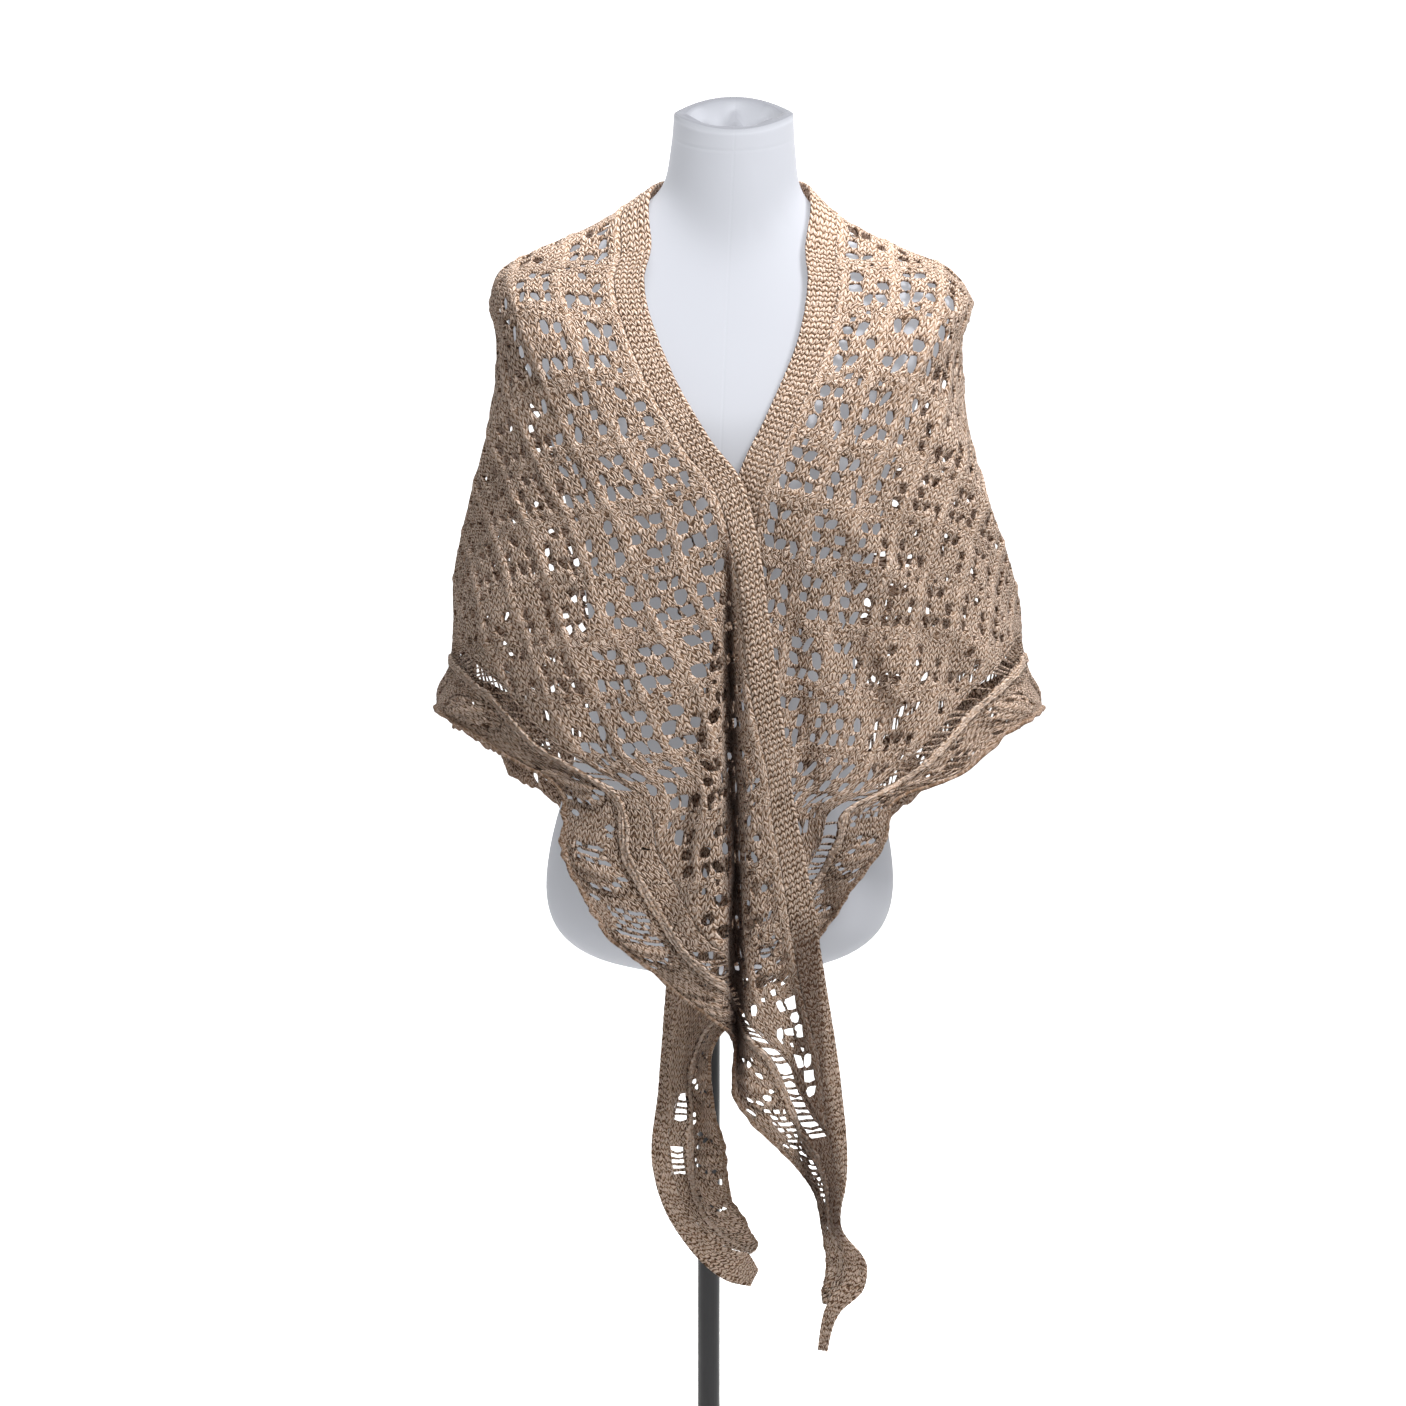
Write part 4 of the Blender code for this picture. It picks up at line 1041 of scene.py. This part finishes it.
# The form: padded, covered with white cotton jersey, with a gathered hollow at the neck
jersey = {
    "base": "#92949A",
    # colour of the painted shade in the neck's hollow
    "hollow": "#5E6066",
    "ribScale": 1 / 0.0011,
    "roughness": 0.8,
    "creaseAngle": math.radians(50),
    "creaseHold": 0.75,
    # strength of the painted glow, low and high up
    "paintedGlow": 0.21,
    "highBase": "#74767C",
    "highPaintedGlow": 0.40,
    "seamDepth": 0.0005,
    "seamWidth": 0.0016,
    "hollowMiddle": (0.021, 0.0),
    "hollowHalf": (0.046, 0.043),
    "hollowFloor": 1.245,
    "hollowDeeper": 0.010,
    "tiltFrom": 1.246,
    "tiltDepth": 0.013,
    "rearRim": 0.050,
    "pleats": 7,
    "pleatHeight": 0.0062,
    "pleatPush": 0.12,
    "baseDark": "#8F9197",
    "baseLight": "#96989D",
    "mottleScale": 14.0,
    "mottleShare": 0.8,
    "ribShare": 0.10,
    "bumpStrength": 0.22,
    "seamLean": -0.045,  # the front seam leans as the form's middle does
    "seamMiddle": -0.0355,
    "ringTilt": -0.35,  # the seam round the neck, higher at the back
    "ringHeight": 1.263,
    "ringWidth": 0.0022,
    "highFrom": 0.95,
    "highTo": 1.10,
    "levelFrom": 0.20,
    "levelTo": 0.85,
    "neckFrom": 1.235,
    "neckTo": 1.250,
    "hollowGlow": 0.02,
    # colour of the painted glow
    "glow": "#F4F7FF",
    "specular": 0.2,
    "sheen": 0.1,
    "mergeWithin": 0.00002,
    "quadBend": math.radians(60),
    "quadSkew": math.radians(80),
    "smoothings": 2,
    "tiltFade": 0.03,
    "tiltRun": 0.1,
    "gatherFade": 0.35,
    "floorFade": 0.004,
    "dipFade": 0.6,
    "pleatDrift": 1.3,
    "pleatTurn": 0.6,
    "broadPleats": 3,
    "broadShare": 0.5,
    "broadTurn": 2.0,
}


def jerseyMaterial():
    # White cotton jersey, fine and matt, pulled smooth over a padded form. It glows a little as painted
    # light, standing in for light that comes through the open knit, so it stays pale under the lace. The glow
    # is stronger higher up, where the base colour is darker to match.
    material, tree = newMaterial("white_cotton_jersey")
    place = addNode(tree, "ShaderNodeTexCoord", {}, "Object")
    x = addNode(tree, "ShaderNodeSeparateXYZ", {0: place}, "X")
    y = addNode(tree, "ShaderNodeSeparateXYZ", {0: place}, "Y")
    z = addNode(tree, "ShaderNodeSeparateXYZ", {0: place}, "Z")
    ribs = addNode(tree, "ShaderNodeTexNoise", {"Vector": place, "Scale": jersey["ribScale"], "Detail": 2.0})
    soft = addNode(
        tree, "ShaderNodeTexNoise", {"Vector": place, "Scale": jersey["mottleScale"], "Detail": 2.0}
    )
    leaning = addNode(tree, "ShaderNodeMath", {0: z, 1: jersey["seamLean"], 2: x}, operation="MULTIPLY_ADD")
    fromSeam = addNode(tree, "ShaderNodeMath", {0: leaning, 1: jersey["seamMiddle"]}, operation="SUBTRACT")
    seamAway = addNode(tree, "ShaderNodeMath", {0: fromSeam}, operation="ABSOLUTE")
    seam = addNode(tree, "ShaderNodeMapRange", {0: seamAway, 1: 0.0, 2: jersey["seamWidth"], 3: 0.0, 4: 1.0})
    tilted = addNode(tree, "ShaderNodeMath", {0: y, 1: jersey["ringTilt"], 2: z}, operation="MULTIPLY_ADD")
    ringAway = addNode(tree, "ShaderNodeMath", {0: tilted, 1: jersey["ringHeight"]}, operation="SUBTRACT")
    ringNear = addNode(tree, "ShaderNodeMath", {0: ringAway}, operation="ABSOLUTE")
    ring = addNode(tree, "ShaderNodeMapRange", {0: ringNear, 1: 0.0, 2: jersey["ringWidth"], 3: 0.0, 4: 1.0})
    both = addNode(tree, "ShaderNodeMath", {0: seam, 1: ring}, operation="MINIMUM")
    knit = addNode(
        tree, "ShaderNodeMath", {0: ribs, 1: jersey["ribShare"], 2: both}, operation="MULTIPLY_ADD"
    )
    height = addNode(
        tree, "ShaderNodeMath", {0: soft, 1: jersey["mottleShare"], 2: knit}, operation="MULTIPLY_ADD"
    )
    bump = addNode(
        tree, "ShaderNodeBump",
        {"Strength": jersey["bumpStrength"], "Distance": jersey["seamDepth"], "Height": height},
    )
    mottled = addNode(
        tree, "ShaderNodeValToRGB", {0: soft},
        stops=((0.0, jersey["baseDark"]), (0.5, jersey["base"]), (1.0, jersey["baseLight"])),
    )
    high = addNode(
        tree, "ShaderNodeMapRange", {0: z, 1: jersey["highFrom"], 2: jersey["highTo"], 3: 0.0, 4: 1.0}
    )
    upper = addNode(
        tree, "ShaderNodeMix", {"Factor": high, 6: mottled, 7: linearColour(jersey["highBase"])}, 2,
        data_type="RGBA",
    )
    # The gathered cloth in the neck's hollow gets painted shade where it faces up: a darker colour
    # and less glow
    facing = addNode(tree, "ShaderNodeTexCoord", {}, "Normal")
    upward = addNode(tree, "ShaderNodeSeparateXYZ", {0: facing}, "Z")
    level = addNode(
        tree, "ShaderNodeMapRange", {0: upward, 1: jersey["levelFrom"], 2: jersey["levelTo"], 3: 0.0, 4: 1.0}
    )
    neck = addNode(
        tree, "ShaderNodeMapRange", {0: z, 1: jersey["neckFrom"], 2: jersey["neckTo"], 3: 0.0, 4: 1.0}
    )
    hollowShading = addNode(tree, "ShaderNodeMath", {0: level, 1: neck}, operation="MULTIPLY")
    colour = addNode(
        tree, "ShaderNodeMix", {"Factor": hollowShading, 6: upper, 7: linearColour(jersey["hollow"])}, 2,
        data_type="RGBA",
    )
    # Painted glow: stronger higher up, weaker in the neck's hollow
    lit = addNode(
        tree, "ShaderNodeMapRange",
        {0: high, 1: 0.0, 2: 1.0, 3: jersey["paintedGlow"], 4: jersey["highPaintedGlow"]},
    )
    glow = addNode(tree, "ShaderNodeMapRange", {0: hollowShading, 1: 0.0, 2: 1.0, 3: lit, 4: jersey["hollowGlow"]})
    surface = addNode(
        tree, "ShaderNodeBsdfPrincipled",
        {"Base Color": colour, "Roughness": jersey["roughness"], "Normal": bump,
         "Specular IOR Level": jersey["specular"], "Sheen Weight": jersey["sheen"],
         "Emission Color": linearColour(jersey["glow"]), "Emission Strength": glow},
    )
    addNode(tree, "ShaderNodeOutputMaterial", {"Surface": surface})
    return material


def copyOfNode(node, name):
    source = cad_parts[node]
    piece = bpy.data.objects.new(name, source.data.copy())
    bpy.context.collection.objects.link(piece)
    piece.data.materials.clear()
    onlySelect(piece)
    bpy.ops.object.mode_set(mode="EDIT")
    bpy.ops.mesh.select_all(action="SELECT")
    bpy.ops.mesh.remove_doubles(threshold=jersey["mergeWithin"])
    bpy.ops.mesh.tris_convert_to_quads(face_threshold=jersey["quadBend"], shape_threshold=jersey["quadSkew"])
    bpy.ops.mesh.select_all(action="DESELECT")
    bpy.ops.object.mode_set(mode="OBJECT")
    return piece


def gatherNeck(piece):
    # The cover is turned in over the neck's rim and gathered there in uneven pleats
    knit = jersey
    points = np.zeros(len(piece.data.vertices) * 3)
    piece.data.vertices.foreach_get("co", points)
    points = points.reshape(-1, 3)
    middle = np.array(knit["hollowMiddle"])
    away = points[:, :2] - middle
    high = softStep((points[:, 2] - knit["tiltFrom"]) / knit["tiltFade"])
    slope = np.clip((knit["rearRim"] - points[:, 1]) / knit["tiltRun"], 0, 1)
    points[:, 2] -= knit["tiltDepth"] * high * slope
    reach = np.hypot(away[:, 0] / knit["hollowHalf"][0], away[:, 1] / knit["hollowHalf"][1])
    angle = np.arctan2(away[:, 1], away[:, 0])
    inside = softStep((1 - reach) / knit["gatherFade"])
    inside = inside * softStep((points[:, 2] - knit["hollowFloor"]) / knit["floorFade"])
    pleats = np.cos(knit["pleats"] * angle + knit["pleatDrift"] * np.sin(angle) + knit["pleatTurn"])
    pleats = pleats + knit["broadShare"] * np.cos(knit["broadPleats"] * angle + knit["broadTurn"])
    dip = knit["hollowDeeper"] * softStep((1 - reach) / knit["dipFade"])
    points[:, 2] += inside * (knit["pleatHeight"] * pleats - dip)
    points[:, :2] += away * (inside * knit["pleatPush"] * pleats)[:, None]
    piece.data.vertices.foreach_set("co", points.ravel())


def jerseyForm():
    piece = copyOfNode("form_torso", "form_jersey")
    crease = piece.data.attributes.new("crease_edge", "FLOAT", "EDGE")
    built = bmesh.new()
    built.from_mesh(piece.data)
    sharp = [
        len(edge.link_faces) == 2 and edge.calc_face_angle() > jersey["creaseAngle"] for edge in built.edges
    ]
    crease.data.foreach_set("value", np.array(sharp, float) * jersey["creaseHold"])
    built.free()
    smooth = piece.modifiers.new("smooth", "SUBSURF")
    smooth.levels = smooth.render_levels = jersey["smoothings"]
    applyModifiers(piece)
    gatherNeck(piece)
    piece.data.materials.append(jerseyMaterial())
    piece.data.shade_smooth()
    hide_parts("form_torso")
    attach(piece, "root")
    print("form_jersey faces", len(piece.data.polygons))
    return piece


# Powder-coated steel: near black, satin, with a fine orange-peel skin
blackCoat = {
    "peel": 0.0012,
    "wearScale": 30.0,
    "wearFrom": 0.3,
    "wearTo": 0.7,
    "smoothest": 0.34,
    "roughest": 0.48,
    "dark": "#1B1B1D",
    "light": "#2A2A2C",
    "bumpStrength": 0.15,
    "bumpDepth": 0.0002,
}


def steelMaterial():
    coat = blackCoat
    material, tree = newMaterial("black_powder_coated_steel")
    place = addNode(tree, "ShaderNodeTexCoord", {}, "Object")
    peel = addNode(tree, "ShaderNodeTexNoise", {"Vector": place, "Scale": 1 / coat["peel"], "Detail": 2.0})
    wear = addNode(tree, "ShaderNodeTexNoise", {"Vector": place, "Scale": coat["wearScale"], "Detail": 4.0})
    rough = addNode(
        tree, "ShaderNodeMapRange",
        {0: wear, 1: coat["wearFrom"], 2: coat["wearTo"], 3: coat["smoothest"], 4: coat["roughest"]},
    )
    colour = addNode(tree, "ShaderNodeValToRGB", {0: wear}, stops=((0.0, coat["dark"]), (1.0, coat["light"])))
    bump = addNode(
        tree, "ShaderNodeBump",
        {"Strength": coat["bumpStrength"], "Distance": coat["bumpDepth"], "Height": peel},
    )
    surface = addNode(
        tree, "ShaderNodeBsdfPrincipled",
        {"Base Color": colour, "Roughness": rough, "Normal": bump, "Metallic": 0.0},
    )
    addNode(tree, "ShaderNodeOutputMaterial", {"Surface": surface})
    return material


def standPieces():
    material = steelMaterial()
    for node in ("form_collar", "stand_pole", "stand_base"):
        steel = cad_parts[node]
        steel.data.materials.clear()
        steel.data.materials.append(material)


# The studio: one pale sweep for floor and backdrop, a white surround and two soft lights. A lamp has its
# name, place, aim, size, power and colour.
studio = {
    "cameraTarget": (-0.005, 0.0, 0.785),
    "cameraDistance": 3.0,
    "cameraElevation": 5.0,
    "fieldOfView": 22.5,
    "sensor": 36.0,
    "surround": 0.33,
    "spread": 75.0,
    "sweepGlow": 0.8,
    "glowFrom": 0.2,
    "glowTo": 1.0,
    "floorSize": 8,
    "floorDrop": 0.0005,
    "rearEdge": 3.9,
    "wallHeight": 5,
    "bendWidth": 1.5,
    "bendSegments": 12,
    "mottleScale": 3.0,
    "paintDark": "#F8F8F8",
    "paintLight": "#FCFCFC",
    "lamps": (
        ("key_softbox", (1.05, -1.10, 2.60), (0.05, 0.0, 1.15), 0.7, 14.0, (1.0, 0.985, 0.97)),
        ("top_softbox", (0.15, 0.05, 3.3), (0.0, 0.0, 0.9), 1.2, 16.0, (1.0, 0.99, 0.98)),
    ),
}


def photoCamera():
    camera = bpy.data.cameras.new("photo_camera")
    camera.sensor_width = studio["sensor"]
    camera.lens = studio["sensor"] / 2 / math.tan(math.radians(studio["fieldOfView"] / 2))
    thing = bpy.data.objects.new("photo_camera", camera)
    bpy.context.collection.objects.link(thing)
    rise = math.radians(studio["cameraElevation"])
    x, y, z = studio["cameraTarget"]
    away = studio["cameraDistance"]
    thing.location = (x, y - away * math.cos(rise), z + away * math.sin(rise))
    thing.rotation_euler = (math.pi / 2 - rise, 0, 0)
    bpy.context.scene.camera = thing


def paleSweep():
    bpy.ops.object.select_all(action="DESELECT")
    bpy.ops.mesh.primitive_plane_add(size=studio["floorSize"], location=(0, 0, -studio["floorDrop"]))
    floor = bpy.context.object
    floor.name = "studio_floor"
    bpy.ops.object.mode_set(mode="EDIT")
    bpy.ops.mesh.select_all(action="DESELECT")
    bpy.ops.object.mode_set(mode="OBJECT")
    for edge in floor.data.edges:
        edge.select = all(floor.data.vertices[v].co.y > studio["rearEdge"] for v in edge.vertices)
    bpy.ops.object.mode_set(mode="EDIT")
    bpy.ops.mesh.extrude_region_move(TRANSFORM_OT_translate={"value": (0, 0, studio["wallHeight"])})
    bpy.ops.object.mode_set(mode="OBJECT")
    bend = floor.modifiers.new("bend", "BEVEL")
    bend.width = studio["bendWidth"]
    bend.segments = studio["bendSegments"]
    bend.limit_method = "ANGLE"
    applyModifiers(floor)
    floor.data.shade_smooth()
    material, tree = newMaterial("white_painted_sweep")
    place = addNode(tree, "ShaderNodeTexCoord", {}, "Object")
    mottle = addNode(tree, "ShaderNodeTexNoise", {"Vector": place, "Scale": studio["mottleScale"]})
    colour = addNode(
        tree, "ShaderNodeValToRGB", {0: mottle},
        stops=((0.0, studio["paintDark"]), (1.0, studio["paintLight"])),
    )
    depth = addNode(tree, "ShaderNodeSeparateXYZ", {0: place}, "Y")
    glow = addNode(
        tree, "ShaderNodeMapRange",
        {0: depth, 1: studio["glowFrom"], 2: studio["glowTo"], 3: 0.0, 4: studio["sweepGlow"]},
    )
    surface = addNode(
        tree, "ShaderNodeBsdfPrincipled",
        {"Base Color": colour, "Roughness": 0.9, "Specular IOR Level": 0.0,
         "Emission Color": (1.0, 1.0, 1.0, 1.0), "Emission Strength": glow},
    )
    addNode(tree, "ShaderNodeOutputMaterial", {"Surface": surface})
    floor.data.materials.append(material)


def softLights():
    world = bpy.data.worlds.new("pale_surround")
    bpy.context.scene.world = world
    world.use_nodes = True
    world.node_tree.nodes["Background"].inputs["Color"].default_value = (1.0, 1.0, 1.0, 1.0)
    world.node_tree.nodes["Background"].inputs["Strength"].default_value = studio["surround"]
    for name, place, target, size, power, colour in studio["lamps"]:
        lamp = bpy.data.lights.new(name, "AREA")
        lamp.shape = "DISK"
        lamp.size = size
        lamp.energy = power
        lamp.spread = math.radians(studio["spread"])
        lamp.color = colour
        thing = bpy.data.objects.new(name, lamp)
        bpy.context.collection.objects.link(thing)
        thing.location = place
        aim = np.array(target) - np.array(place)
        flatWay = math.hypot(aim[0], aim[1])
        thing.rotation_euler = (math.atan2(flatWay, -aim[2]), 0, math.atan2(aim[1], aim[0]) - math.pi / 2)
    bpy.context.scene.view_settings.view_transform = "Standard"


photoCamera()
paleSweep()
softLights()
print("studio ready")
jerseyForm()
standPieces()
print("form and stand ready")
laceWool = woolMaterial("hand_knitted_lace_wool", wool)
garterWool = woolMaterial("hand_knitted_garter_wool", garterLook)
borderWool = woolMaterial("hand_knitted_border_wool", wool)
for side, label in ((-1, "left"), (1, "right")):
    half = DrapedHalf(side)
    garterBand("garter_band_" + label, half, garterWool)
    lacePanel("lace_body_" + label, half, laceWool)
    lacyBorder("lace_border_" + label, half, borderWool)
print("shawl ready")
